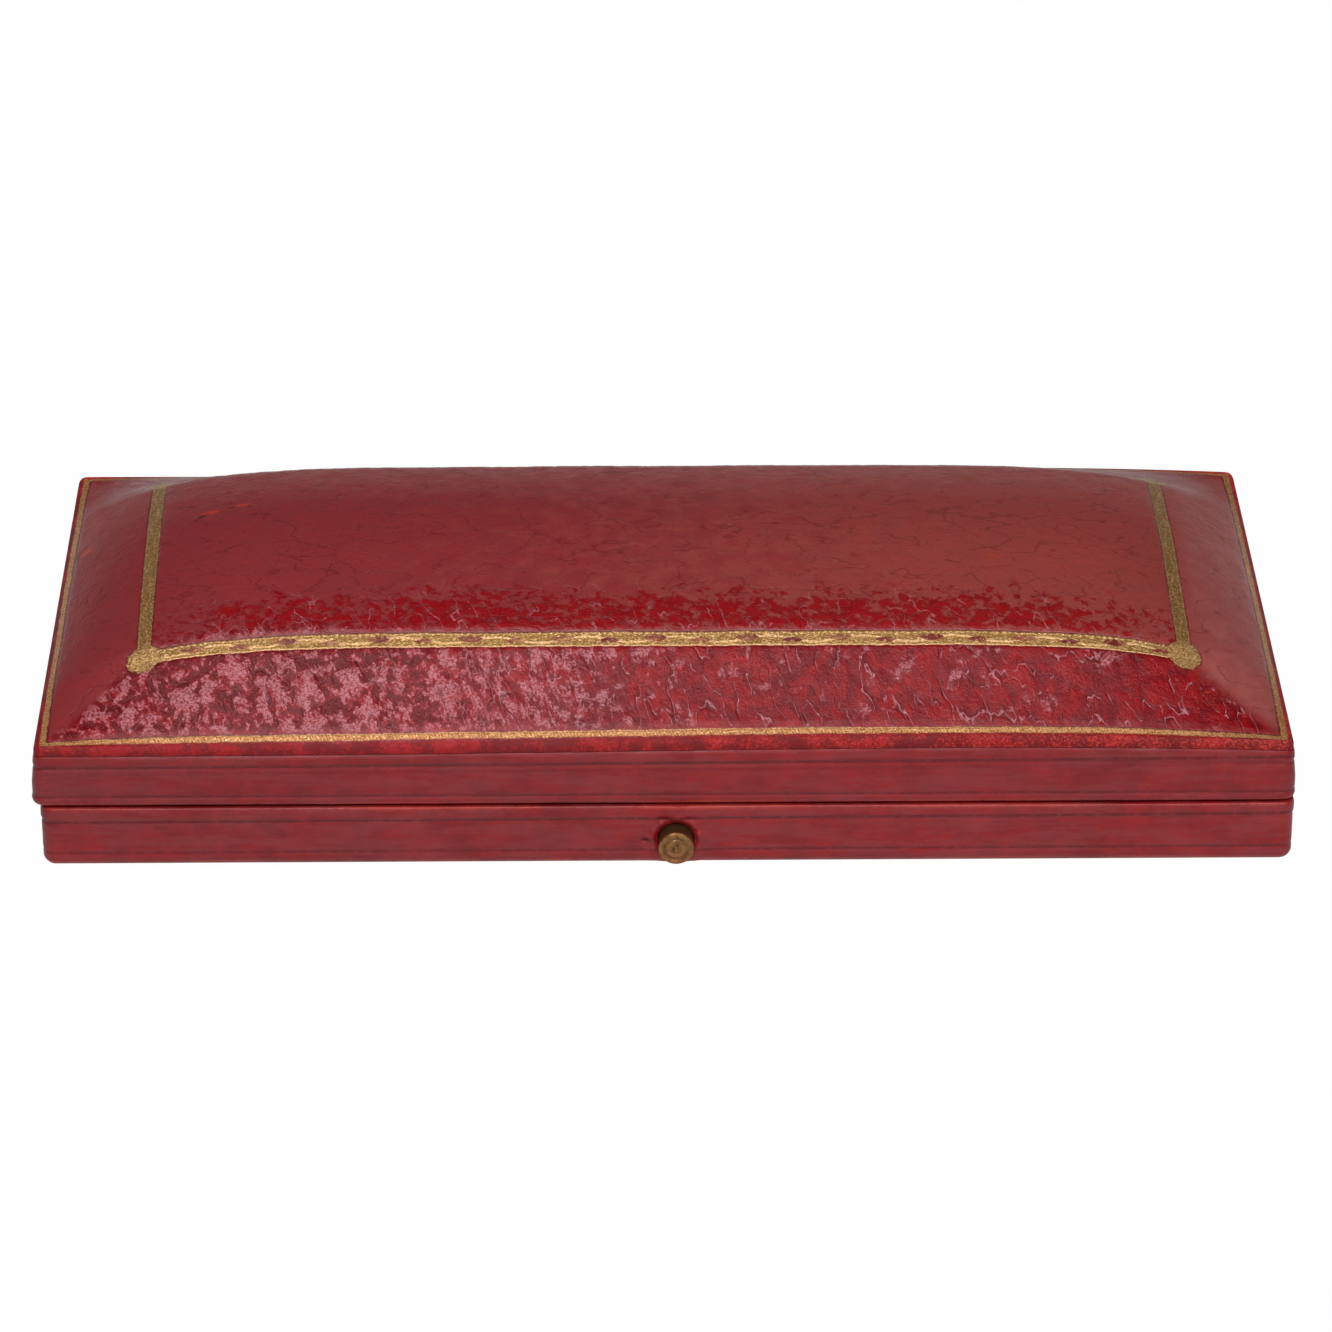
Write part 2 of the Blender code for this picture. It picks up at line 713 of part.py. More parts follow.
def hinge(side, x, base, lid, lid_axis):
    """One butt hinge: two leaves, a pin and four nails, with its seats in leather and wood."""
    base_leaf = hinge_leaf(f"hinge_base_leaf_{side}", x, BASE_HEIGHT - PLATE_THICKNESS, False)
    lid_leaf = hinge_leaf(f"hinge_lid_leaf_{side}", x, LID_RIM, True, lid_axis)
    half = HINGE_LENGTH / 2 + PIN_OVERHANG
    rod(
        f"hinge_pin_{side}",
        PIN_RADIUS,
        (x - half, HINGE_Y, HINGE_Z),
        (x + half, HINGE_Y, HINGE_Z),
        SMALL_ROUND_STEPS,
        BRASS,
    )
    cove_half = half + KNUCKLE_GAP
    cove = rod(
        f"hinge_cove_{side}_cutter",
        KNUCKLE_RADIUS + KNUCKLE_CLEARANCE,
        (x - cove_half, HINGE_Y, HINGE_Z),
        (x + cove_half, HINGE_Y, HINGE_Z),
        ROUND_STEPS,
    )
    seat_half = HINGE_LENGTH / 2 + LEAF_SEAT_GAP
    seat = Rect(x - seat_half, x + seat_half, back(LEAF_DEPTH + LEAF_SEAT_GAP), HINGE_Y)
    base_seat = plate(
        f"base_leaf_seat_{side}_cutter",
        seat,
        BASE_HEIGHT - LEATHER - GLUE_FIT,
        BASE_HEIGHT + CUT_OVERRUN,
    )
    lid_seat = plate(
        f"lid_leaf_seat_{side}_cutter",
        seat,
        LID_RIM - CUT_OVERRUN,
        LID_RIM + LEATHER + GLUE_FIT,
    )
    cut(base_seat, base["leather"])
    cut(lid_seat, lid["leather"])
    cut(cove, base["leather"], lid["leather"], base["rail"], lid["rail"])
    outward = 1 if x > 0 else -1
    nail_reach = HINGE_LENGTH / 2 - NAIL_END_DISTANCE
    for place, offset in (("inner", -nail_reach), ("outer", nail_reach)):
        nail_x = x + outward * offset
        nail(
            f"base_leaf_nail_{side}_{place}",
            (nail_x, back(NAIL_DEPTH), BASE_HEIGHT),
            (0, 0, -1),
            (base_leaf, base["rail"]),
        )
        nail(
            f"lid_leaf_nail_{side}_{place}",
            (nail_x, back(NAIL_DEPTH), LID_RIM),
            (0, 0, 1),
            (lid_leaf, lid["rail"]),
            lid_axis,
        )


def bevel_back_edges(base_leather, lid_leather):
    """Bevels both back edges through the hinge axis; they meet and stop the open lid."""
    angle = math.radians(LID_OPEN_DEGREES / 2 + BEVEL_SPARE_DEGREES)
    reach = HINGE_INSET + CUT_OVERRUN
    fall = reach * math.tan(angle)
    for name, leather, sign in (("base", base_leather, -1), ("lid", lid_leather, 1)):
        profile = [
            (HINGE_Y, HINGE_Z),
            (HINGE_Y + reach, HINGE_Z),
            (HINGE_Y + reach, HINGE_Z + sign * fall),
        ]
        wedge = profile_along_x(
            f"{name}_bevel_cutter",
            profile,
            LID_OUT.x0 - CUT_OVERRUN,
            LID_OUT.x1 + CUT_OVERRUN,
        )
        cut(wedge, leather)


def push_button(axis):
    """The turned button: a ringed face with a nib, a plain shank and a rivet through the slide."""
    seat = BUTTON_PROUD + SLIDE_FRONT - GLUE_FIT
    rivet = seat + GLUE_FIT + SLIDE_THICKNESS + GLUE_FIT
    nib_side = NIB_RADIUS * math.sqrt(3) / 2
    edge_fall = BUTTON_EDGE * (1 - math.sqrt(1 / 2))
    profile = [
        (0, -NIB_HEIGHT),
        (nib_side, -NIB_HEIGHT / 2),
        (NIB_RADIUS, 0),
        (FACE_RING_INNER, 0),
        ((FACE_RING_INNER + FACE_RING_OUTER) / 2, FACE_RING_DEPTH),
        (FACE_RING_OUTER, 0),
        (BUTTON_RADIUS - BUTTON_EDGE, 0),
        (BUTTON_RADIUS - edge_fall, edge_fall),
        (BUTTON_RADIUS, BUTTON_EDGE),
        (BUTTON_RADIUS, seat),
        (RIVET_RADIUS, seat),
        (RIVET_RADIUS, rivet),
        (RIVET_HEAD_RADIUS, rivet),
        (RIVET_HEAD_RADIUS, rivet + RIVET_HEAD_HEIGHT),
        (0, rivet + RIVET_HEAD_HEIGHT),
    ]
    place = (BUTTON_X, front(-BUTTON_PROUD), BUTTON_Z)
    return turned("push_button", profile, place, (0, 1, 0), ROUND_STEPS, BRASS, axis)


def latch_slide(axis):
    """A bent plate: a front wall on the button, a top with the catch window and a rear flange."""
    front_in = SLIDE_FRONT + SLIDE_THICKNESS
    top_under = SLIDE_Z1 - SLIDE_THICKNESS
    profile = [
        (front(SLIDE_FRONT), SLIDE_Z0),
        (front(front_in), SLIDE_Z0),
        (front(front_in), top_under),
        (front(SLIDE_BACK - SLIDE_FLANGE), top_under),
        (front(SLIDE_BACK - SLIDE_FLANGE), FLANGE_Z0),
        (front(SLIDE_BACK), FLANGE_Z0),
        (front(SLIDE_BACK), SLIDE_Z1),
        (front(SLIDE_FRONT), SLIDE_Z1),
    ]
    half = SLIDE_WIDTH / 2
    slide = profile_along_x("latch_slide", profile, BUTTON_X - half, BUTTON_X + half, BRASS, axis)
    window = Rect(
        BUTTON_X - WINDOW_WIDTH / 2,
        BUTTON_X + WINDOW_WIDTH / 2,
        front(WINDOW_FRONT),
        front(WINDOW_BACK),
    )
    cut(plate("slide_window_cutter", window, top_under - CUT_OVERRUN, SLIDE_Z1 + CUT_OVERRUN), slide)
    hole = rod(
        "slide_rivet_hole_cutter",
        RIVET_RADIUS + GLUE_FIT,
        (BUTTON_X, front(SLIDE_FRONT - CUT_OVERRUN), BUTTON_Z),
        (BUTTON_X, front(front_in + RUNNING_FIT), BUTTON_Z),
        ROUND_STEPS,
    )
    cut(hole, slide)
    return slide


def latch_spring():
    """A bowed leaf spring between the slide and the back of the pocket."""
    half = SPRING_LENGTH / 2
    front_side = []
    back_side = []
    for step in range(SPRING_STEPS + 1):
        share = 2 * step / SPRING_STEPS - 1
        depth = SLIDE_BACK + GLUE_FIT + SPRING_RISE * share**2
        front_side.append((BUTTON_X + half * share, front(depth)))
        back_side.append((BUTTON_X + half * share, front(depth + SPRING_THICKNESS)))
    middle = (FLANGE_Z0 + SLIDE_Z1) / 2
    z0 = middle - SPRING_WIDTH / 2
    outline = [(x, y, z0) for x, y in front_side + list(reversed(back_side))]
    return prism("latch_spring", outline, Vector((0, 0, SPRING_WIDTH)), STEEL)


def strike_plate(leather, front_rail):
    """The slotted plate over the latch pocket, with a pin at each end."""
    half = STRIKE_LENGTH / 2
    plan = Rect(BUTTON_X - half, BUTTON_X + half, front(STRIKE_FRONT), front(STRIKE_BACK))
    strike = plate("strike_plate", plan, BASE_HEIGHT - PLATE_THICKNESS, BASE_HEIGHT, BRASS)
    slot = Rect(
        BUTTON_X - SLOT_WIDTH / 2,
        BUTTON_X + SLOT_WIDTH / 2,
        front(SLOT_FRONT),
        front(SLOT_BACK),
    )
    low = BASE_HEIGHT - LEATHER - GLUE_FIT
    cut(plate("strike_slot_cutter", slot, low - CUT_OVERRUN, BASE_HEIGHT + CUT_OVERRUN), strike)
    seat = plan.grown(LEAF_SEAT_GAP)
    cut(plate("strike_seat_cutter", seat, low, BASE_HEIGHT + CUT_OVERRUN), leather)
    middle = front((STRIKE_FRONT + STRIKE_BACK) / 2)
    reach = half - STRIKE_PIN_END_DISTANCE
    for side, offset in (("left", -reach), ("right", reach)):
        place = (BUTTON_X + offset, middle, BASE_HEIGHT)
        nail(f"strike_pin_{side}", place, (0, 0, -1), (strike, front_rail))


def lid_hook(leather, front_rail, axis):
    """The catch: a plate under the lid's front wall and a hook that drops through the strike plate."""
    half = HOOK_PLATE_LENGTH / 2
    stem_back = HOOK_FRONT + HOOK_THICKNESS
    middle = (HOOK_FRONT + stem_back) / 2
    plan = Rect(
        BUTTON_X - half,
        BUTTON_X + half,
        front(middle - HOOK_PLATE_DEPTH / 2),
        front(middle + HOOK_PLATE_DEPTH / 2),
    )
    hook = plate("lid_hook", plan, LID_RIM, LID_RIM + PLATE_THICKNESS, BRASS, axis)
    nose_top = SLIDE_Z1 - SLIDE_THICKNESS - RUNNING_FIT
    nose_low = nose_top - HOOK_NOSE_HEIGHT
    into_plate = LID_RIM + PLATE_THICKNESS / 2
    profile = [
        (front(HOOK_FRONT), nose_low),
        (front(NOSE_TIP), nose_low),
        (front(NOSE_TIP), nose_top),
        (front(stem_back), nose_top),
        (front(stem_back), into_plate),
        (front(HOOK_FRONT), into_plate),
    ]
    stem_x0 = BUTTON_X - HOOK_WIDTH / 2
    stem = profile_along_x("hook_stem_guide", profile, stem_x0, stem_x0 + HOOK_WIDTH)
    boolean(hook, stem, "UNION")
    seat = plan.grown(LEAF_SEAT_GAP)
    cut(
        plate("hook_seat_cutter", seat, LID_RIM - CUT_OVERRUN, LID_RIM + LEATHER + GLUE_FIT),
        leather,
    )
    reach = half - HOOK_PIN_END_DISTANCE
    for side, offset in (("left", -reach), ("right", reach)):
        place = (BUTTON_X + offset, front(middle), LID_RIM)
        nail(f"hook_pin_{side}", place, (0, 0, 1), (hook, front_rail), axis)


def cut_button_way(leather, front_rail, board):
    """The button's bore and the latch pocket behind it."""
    bore = rod(
        "button_bore_cutter",
        BUTTON_RADIUS + BUTTON_BORE_CLEARANCE,
        (BUTTON_X, front(-CUT_OVERRUN), BUTTON_Z),
        (BUTTON_X, front(SLIDE_FRONT + BUTTON_TRAVEL + RUNNING_FIT), BUTTON_Z),
        ROUND_STEPS,
    )
    cut(bore, leather, front_rail, board)
    half = SLIDE_WIDTH / 2 + POCKET_SIDE_GAP
    pocket = Rect(BUTTON_X - half, BUTTON_X + half, front(POCKET_FRONT), front(POCKET_BACK))
    cut(
        plate("latch_pocket_cutter", pocket, POCKET_FLOOR, BASE_HEIGHT - LEATHER),
        front_rail,
        board,
    )


def base_interior():
    """Collars, the card and the padded bed with its slits."""
    top = BASE_HEIGHT + COLLAR_RISE
    for collar in frame_of_rails("collar", "", COLLAR_OUT, COLLAR_IN, RAIL_Z0, top, VELVET).values():
        soften(collar, COLLAR_ROUND)
    bed = COLLAR_IN.grown(-PAD_GAP)
    card_top = RAIL_Z0 + PAD_CARD
    plate("pad_card", bed, RAIL_Z0, card_top, CARD)
    pad_low = card_top + GLUE_FIT
    pad_top = pad_low + PAD_THICKNESS
    pad = plate("velvet_pad", bed, pad_low, pad_top, VELVET)
    soften(pad, PAD_ROUND)
    middle_x = (bed.x0 + bed.x1) / 2
    middle_y = (bed.y0 + bed.y1) / 2
    for column in (-1, 1):
        for row in (-1, 1):
            x = middle_x + column * SLIT_COLUMN_SHARE * (bed.x1 - bed.x0)
            y = middle_y + row * SLIT_ROW_SHARE * (bed.y1 - bed.y0)
            slit = Rect(
                x - SLIT_LENGTH / 2, x + SLIT_LENGTH / 2, y - SLIT_WIDTH / 2, y + SLIT_WIDTH / 2
            )
            name = f"pad_slit_{column + 1}_{row + 1}_cutter"
            cut(plate(name, slit, pad_top - SLIT_DEPTH, pad_top + CUT_OVERRUN), pad)


def lid_interior(axis):
    """Linings round the lid's walls, and the card and pad in the recess of its top."""
    frame_of_rails(
        "lid_lining", "", LINING_OUT, LINING_IN, LID_RIM + GLUE_FIT, PANEL_Z0 - GLUE_FIT, SATIN, axis
    )
    bed = RECESS.grown(-PAD_GAP)
    card_top = RECESS_Z - GLUE_FIT
    card_low = card_top - LID_CARD
    plate("lid_pad_card", bed, card_low, card_top, CARD, axis)
    pad_top = card_low - GLUE_FIT
    pad = plate("lid_satin_pad", bed, pad_top - LID_PAD, pad_top, SATIN, axis)
    soften(pad, PAD_ROUND)


def build():
    clear_scene()
    lid_axis = axis_empty("lid_hinge_axis", Vector((0, HINGE_Y, HINGE_Z)))
    button_axis = axis_empty("button_slide_axis", Vector((BUTTON_X, front(0), BUTTON_Z)))

    base_leather = base_side_leather()
    board = base_board()
    base_bottom_leather()
    base_rails = frame_of_rails("base", "_rail", RAILS_OUT, RAILS_IN, RAIL_Z0, RAIL_Z1, WOOD)
    base_interior()

    lid_leather = lid_side_leather()
    top_leather = lid_top_leather()
    panel = lid_panel()
    lid_rails = frame_of_rails(
        "lid", "_rail", LID_RAILS_OUT, LID_RAILS_IN, LID_RAIL_Z0, PANEL_Z0 - GLUE_FIT, WOOD, lid_axis
    )
    for piece in (lid_leather, top_leather, panel):
        piece.parent = lid_axis
        piece.matrix_parent_inverse = Matrix.Translation(-lid_axis.location)
    lid_interior(lid_axis)

    cut_button_way(base_leather, base_rails["front"], board)
    push_button(button_axis)
    latch_slide(button_axis)
    latch_spring()
    strike_plate(base_leather, base_rails["front"])
    lid_hook(lid_leather, lid_rails["front"], lid_axis)

    bevel_back_edges(base_leather, lid_leather)
    base_back = {"leather": base_leather, "rail": base_rails["back"]}
    lid_back = {"leather": lid_leather, "rail": lid_rails["back"]}
    for side, x in (("left", -HINGE_X), ("right", HINGE_X)):
        hinge(side, x, base_back, lid_back, lid_axis)


build()
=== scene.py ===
"""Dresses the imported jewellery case: grained red leather with gilt and blind tooling, brass latch and hinges,
velvet and satin inside. Lengths are in metres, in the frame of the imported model."""

import itertools
import json
import logging
import math
from dataclasses import dataclass, field, replace
from enum import Enum
from typing import Any, Callable, ClassVar, NamedTuple, Optional, Sequence, Union

import bmesh
import bpy
import numpy as np
from mathutils import Matrix, Vector


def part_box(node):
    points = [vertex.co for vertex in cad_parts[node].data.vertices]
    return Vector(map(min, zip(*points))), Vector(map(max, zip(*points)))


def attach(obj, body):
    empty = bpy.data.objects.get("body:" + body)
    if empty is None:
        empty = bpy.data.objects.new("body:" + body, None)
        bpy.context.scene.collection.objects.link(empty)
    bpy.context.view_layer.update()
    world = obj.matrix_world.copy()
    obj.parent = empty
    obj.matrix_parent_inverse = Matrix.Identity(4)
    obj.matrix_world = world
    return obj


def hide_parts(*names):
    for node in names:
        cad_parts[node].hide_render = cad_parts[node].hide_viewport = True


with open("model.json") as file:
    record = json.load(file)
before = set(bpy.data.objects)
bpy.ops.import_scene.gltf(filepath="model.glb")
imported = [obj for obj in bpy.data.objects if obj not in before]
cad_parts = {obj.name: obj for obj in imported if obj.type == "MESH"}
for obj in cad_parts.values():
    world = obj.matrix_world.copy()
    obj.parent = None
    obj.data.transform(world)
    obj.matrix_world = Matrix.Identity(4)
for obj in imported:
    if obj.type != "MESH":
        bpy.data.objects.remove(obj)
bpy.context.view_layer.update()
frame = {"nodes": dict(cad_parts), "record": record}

LOG = logging.getLogger("case")
MM = 0.001
WELD = 1e-6

Piece = bpy.types.Object
Mesh = bmesh.types.BMesh
Material = bpy.types.Material
Group = bpy.types.NodeTree
Socket = bpy.types.NodeSocket
Feed = Union["Signal", float, Sequence[float]]
Array = np.ndarray
Triple = Sequence[float]


def paint(red: float, green: float, blue: float) -> tuple[float, float, float]:
    """A screen colour, 0 to 255, as the linear colour that a shader takes.

    Args:
        red, green, blue: the colour as a picture shows it.

    Returns:
        The three linear shares.
    """
    shares = [value / 255 for value in (red, green, blue)]
    return tuple(s / 12.92 if s <= 0.04045 else ((s + 0.055) / 1.055) ** 2.4 for s in shares)


def smoothstep(value: Array, low: float, high: float) -> Array:
    """An eased step from 0 at low to 1 at high."""
    share = np.clip((value - low) / (high - low), 0, 1)
    return share * share * (3 - 2 * share)


def bell(value: Array, width: float) -> Array:
    """A soft bump: 1 at zero, falling away over a width."""
    return np.exp(-((value / width) ** 2))


class Rect(NamedTuple):
    """A rectangle in plan."""

    x0: float
    x1: float
    y0: float
    y1: float

    def grown(self, by: float) -> "Rect":
        """The rectangle with each side moved out."""
        return Rect(self.x0 - by, self.x1 + by, self.y0 - by, self.y1 + by)

    def blended(self, other: "Rect", share: float) -> "Rect":
        """The rectangle part of the way to another."""
        return Rect(*(a + (b - a) * share for a, b in zip(self, other)))

    @classmethod
    def of(cls, node: str) -> "Rect":
        """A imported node's outline in plan."""
        low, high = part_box(node)
        return cls(low.x, high.x, low.y, high.y)

    @property
    def middle(self) -> tuple[float, float]:
        """The middle of the rectangle."""
        return (self.x0 + self.x1) / 2, (self.y0 + self.y1) / 2

    @property
    def wide(self) -> float:
        """The length along X."""
        return self.x1 - self.x0

    @property
    def deep(self) -> float:
        """The length along Y."""
        return self.y1 - self.y0

    def inside(self, x: Array, y: Array) -> Array:
        """How far points lie inside the nearest side."""
        return np.minimum(np.minimum(x - self.x0, self.x1 - x), np.minimum(y - self.y0, self.y1 - y))


@dataclass(frozen=True)
class Lattice:
    """Repeatable random values on a lattice of cells, and the noises made from them."""

    seed: int

    def random(self, cells: Array, channel: int) -> Array:
        """A share from 0 to 1 for each cell.

        Args:
            cells: whole-number places, one row of three each.
            channel: tells apart several values of one cell.

        Returns:
            One value per row.
        """
        whole = cells.astype(np.int64).astype(np.uint64)
        mixed = whole[:, 0] * np.uint64(73856093)
        mixed ^= whole[:, 1] * np.uint64(19349663)
        mixed ^= whole[:, 2] * np.uint64(83492791)
        mixed ^= np.uint64(self.seed * 2654435761 + channel * 97531)
        for _ in range(2):
            mixed ^= mixed >> np.uint64(29)
            mixed *= np.uint64(0xBF58476D1CE4E5B9)
            mixed ^= mixed >> np.uint64(32)
        return (mixed & np.uint64(0xFFFFFF)).astype(float) / 0xFFFFFF

    def smooth(self, points: Array, size: Union[float, Sequence[float]], channel: int = 0) -> Array:
        """Soft noise from -1 to 1 with features of a size.

        Args:
            points: one row of three per point.
            size: the size of the features, the same or one per axis.
            channel: which of the tables to read.

        Returns:
            One value per row.
        """
        scaled = points / np.array(size)
        low = np.floor(scaled)
        part = scaled - low
        part = part * part * (3 - 2 * part)
        total = np.zeros(len(points))
        for corner in itertools.product((0, 1), repeat=3):
            pick = np.array(corner)
            weight = np.prod(np.where(pick, part, 1 - part), axis=1)
            total += weight * self.random(low + pick, channel)
        return 2 * total - 1

    def layered(self, points: Array, size: Union[float, Sequence[float]], layers: int = 3) -> Array:
        """Soft noise with finer noise on it, from about -1 to 1.

        Args:
            points: one row of three per point.
            size: the size of the largest features.
            layers: how many noises lie on each other.

        Returns:
            One value per row.
        """
        total = np.zeros(len(points))
        for layer in range(layers):
            total += self.smooth(points, np.array(size) / 2**layer, layer) / 2**layer
        return total / (2 - 0.5 ** (layers - 1))

    def cells(self, points: Array, size: Union[float, Sequence[float]]) -> tuple[Array, Array]:
        """Distances to the nearest and the second nearest of the scattered cell middles.

        Args:
            points: places, one row of three each.
            size: a cell's size along each axis.

        Returns:
            Both distances, in cells.
        """
        scaled = points / np.array(size)
        home = np.floor(scaled)
        nearest = np.full(len(points), 9.0)
        second = np.full(len(points), 9.0)
        for step in itertools.product((-1, 0, 1), repeat=3):
            cell = home + np.array(step)
            site = cell + np.stack([self.random(cell, 7 + axis) for axis in range(3)], axis=1)
            away = np.linalg.norm(site - scaled, axis=1)
            second = np.minimum(second, np.maximum(nearest, away))
            nearest = np.minimum(nearest, away)
        return nearest, second


class Signal:
    """What a socket gives, so that a graph's sums can be written with signs."""

    def __init__(self, graph: "Graph", socket: Socket) -> None:
        """Keeps the socket and its graph."""
        self.graph = graph
        self.socket = socket

    def __add__(self, other: Feed) -> "Signal":
        """The sum."""
        return self.graph.maths("ADD", self, other)

    def __mul__(self, other: Feed) -> "Signal":
        """The product."""
        return self.graph.maths("MULTIPLY", self, other)

    def __sub__(self, other: Feed) -> "Signal":
        """The difference."""
        return self.graph.maths("SUBTRACT", self, other)

    def __rsub__(self, other: Feed) -> "Signal":
        """The difference from a plain number."""
        return self.graph.maths("SUBTRACT", other, self)

    def __abs__(self) -> "Signal":
        """The size without its sign."""
        return self.graph.maths("ABSOLUTE", self)

    __radd__ = __add__
    __rmul__ = __mul__


class Graph:
    """Writes nodes into one tree, with a short call for each node that the finishes need."""

    def __init__(self, tree: Group) -> None:
        """Starts on a tree."""
        self.tree = tree

    def node(self, kind: str, **settings: Any) -> bpy.types.Node:
        """Adds a node and sets its options.

        Args:
            kind: the node's type.
            settings: its options, by name.

        Returns:
            The node.
        """
        made = self.tree.nodes.new(kind)
        for name, value in settings.items():
            setattr(made, name, value)
        return made

    def feed(self, socket: Socket, value: Feed) -> None:
        """Links a socket to another, or gives it a plain value.

        Args:
            socket: the input.
            value: what it gets.
        """
        if isinstance(value, Signal):
            self.tree.links.new(value.socket, socket)
        elif socket.type == "RGBA" and len(value) == 3:
            socket.default_value = (*value, 1)
        else:
            socket.default_value = value

    def fill(self, node: bpy.types.Node, **inputs: Feed) -> bpy.types.Node:
        """Feeds a node's sockets by name, with _ for a space in a name, and gives the node back."""
        for name, value in inputs.items():
            self.feed(node.inputs[name.replace("_", " ")], value)
        return node

    def maths(self, operation: str, *values: Feed, clamp: bool = False) -> Signal:
        """One sum of up to three values.

        Args:
            operation: what is done.
            values: what it is done with.
            clamp: whether the result stays within 0 and 1.

        Returns:
            The result.
        """
        made = self.node("ShaderNodeMath", operation=operation, use_clamp=clamp)
        for socket, value in zip(made.inputs, values):
            self.feed(socket, value)
        return Signal(self, made.outputs[0])

    def chained(self, operation: str, first: Feed, *others: Feed) -> Feed:
        """Values taken together by one operation, from the first on."""
        for other in others:
            first = self.maths(operation, first, other)
        return first

    def outputs(self, node: bpy.types.Node) -> dict[str, Signal]:
        """What a node gives, by name; of several sockets with one name, the last that is in use."""
        return {socket.name: Signal(self, socket) for socket in node.outputs if socket.enabled}

    def attribute(self, name: str) -> Signal:
        """What a vertex attribute holds."""
        return self.outputs(self.node("ShaderNodeAttribute", attribute_name=name))["Fac"]

    def times(self, *values: Feed) -> Feed:
        """The product of the values."""
        return self.chained("MULTIPLY", *values)

    def most(self, *values: Feed) -> Feed:
        """The largest of the values."""
        return self.chained("MAXIMUM", *values)

    def capped(self, first: Feed, second: Feed) -> Signal:
        """The sum of two values, kept from 0 to 1."""
        return self.maths("ADD", first, second, clamp=True)

    def ramp(self, value: Feed, low: Feed, high: Feed, start: float = 0.0, end: float = 1.0) -> Signal:
        """An eased step from start, where the value is low, to end, where it is high."""
        made = self.node("ShaderNodeMapRange", interpolation_type="SMOOTHSTEP", clamp=True)
        self.fill(made, Value=value, From_Min=low, From_Max=high, To_Min=start, To_Max=end)
        return Signal(self, made.outputs["Result"])

    def near(self, value: Feed, half: float, soft: float) -> Signal:
        """A mask that is 1 within half of zero and falls to 0 over soft."""
        return self.ramp(self.maths("ABSOLUTE", value), half, half + soft, 1.0, 0.0)

    def mix(self, share: Feed, first: Feed, second: Feed) -> Signal:
        """A colour part of the way from the first to the second.

        Args:
            share: how far, from 0 to 1.
            first, second: the two colours.

        Returns:
            The colour.
        """
        made = self.node("ShaderNodeMix", data_type="RGBA", blend_type="MIX")
        for socket, value in zip(made.inputs[:1] + made.inputs[6:8], (share, first, second)):
            self.feed(socket, value)
        return Signal(self, made.outputs[2])

    def over(self, colour: Feed, tint: Feed, *shares: Feed) -> Signal:
        """A colour with a tint laid over it, as strongly as the product of the shares."""
        return self.mix(self.times(*shares), colour, tint)

    def between(self, share: Feed, first: Feed, second: Feed) -> Signal:
        """A value part of the way from the first to the second.

        Args:
            share: how far, from 0 to 1.
            first, second: the two values.

        Returns:
            The value.
        """
        made = self.node("ShaderNodeMix", data_type="FLOAT")
        for socket, value in zip(made.inputs[:1] + made.inputs[2:4], (share, first, second)):
            self.feed(socket, value)
        return Signal(self, made.outputs[0])

    def noise(self, vector: Signal, size: Feed, detail: float = 2.0, rough: float = 0.5) -> Signal:
        """Soft noise with features of a size, about 0.5.

        Args:
            vector: the place.
            size: the size of the features.
            detail, rough: how many finer noises lie on it, and how strong they are.

        Returns:
            The noise.
        """
        made = self.node("ShaderNodeTexNoise")
        scale = self.maths("DIVIDE", 1.0, size) if isinstance(size, Signal) else 1 / size
        self.fill(made, Vector=vector, Scale=scale, Detail=detail, Roughness=rough)
        return Signal(self, made.outputs["Fac"])

    def place(
        self,
        vector: Signal,
        location: Triple = (0, 0, 0),
        turn: Triple = (0, 0, 0),
        scale: Triple = (1, 1, 1),
    ) -> Signal:
        """A pattern's vector moved, turned and scaled."""
        made = self.node("ShaderNodeMapping")
        self.fill(made, Vector=vector, Location=location, Rotation=turn, Scale=scale)
        return Signal(self, made.outputs["Vector"])

    def axes(self, vector: Signal) -> tuple[Signal, Signal, Signal]:
        """The three parts of a vector."""
        made = self.node("ShaderNodeSeparateXYZ")
        self.feed(made.inputs[0], vector)
        return tuple(Signal(self, socket) for socket in made.outputs)

    def joined(self, x: Feed, y: Feed, z: Feed) -> Signal:
        """A vector from three parts.

        Args:
            x, y, z: the parts.

        Returns:
            The vector.
        """
        made = self.node("ShaderNodeCombineXYZ")
        for socket, value in zip(made.inputs, (x, y, z)):
            self.feed(socket, value)
        return Signal(self, made.outputs[0])

    def bump(self, height: Feed, depth: float, strength: float) -> Signal:
        """A normal tilted by a height, whose 1 stands for a depth."""
        made = self.node("ShaderNodeBump")
        self.fill(made, Strength=strength, Distance=depth, Height=height)
        return Signal(self, made.outputs["Normal"])

    def use(self, group: Group, **inputs: Feed) -> dict[str, Signal]:
        """Places a node group and feeds its inputs by name.

        Args:
            group: the group to place.
            inputs: values for its sockets, with _ for a space in a name.

        Returns:
            Its outputs by name.
        """
        made = self.node("ShaderNodeGroup")
        made.node_tree = group
        return self.outputs(self.fill(made, **inputs))


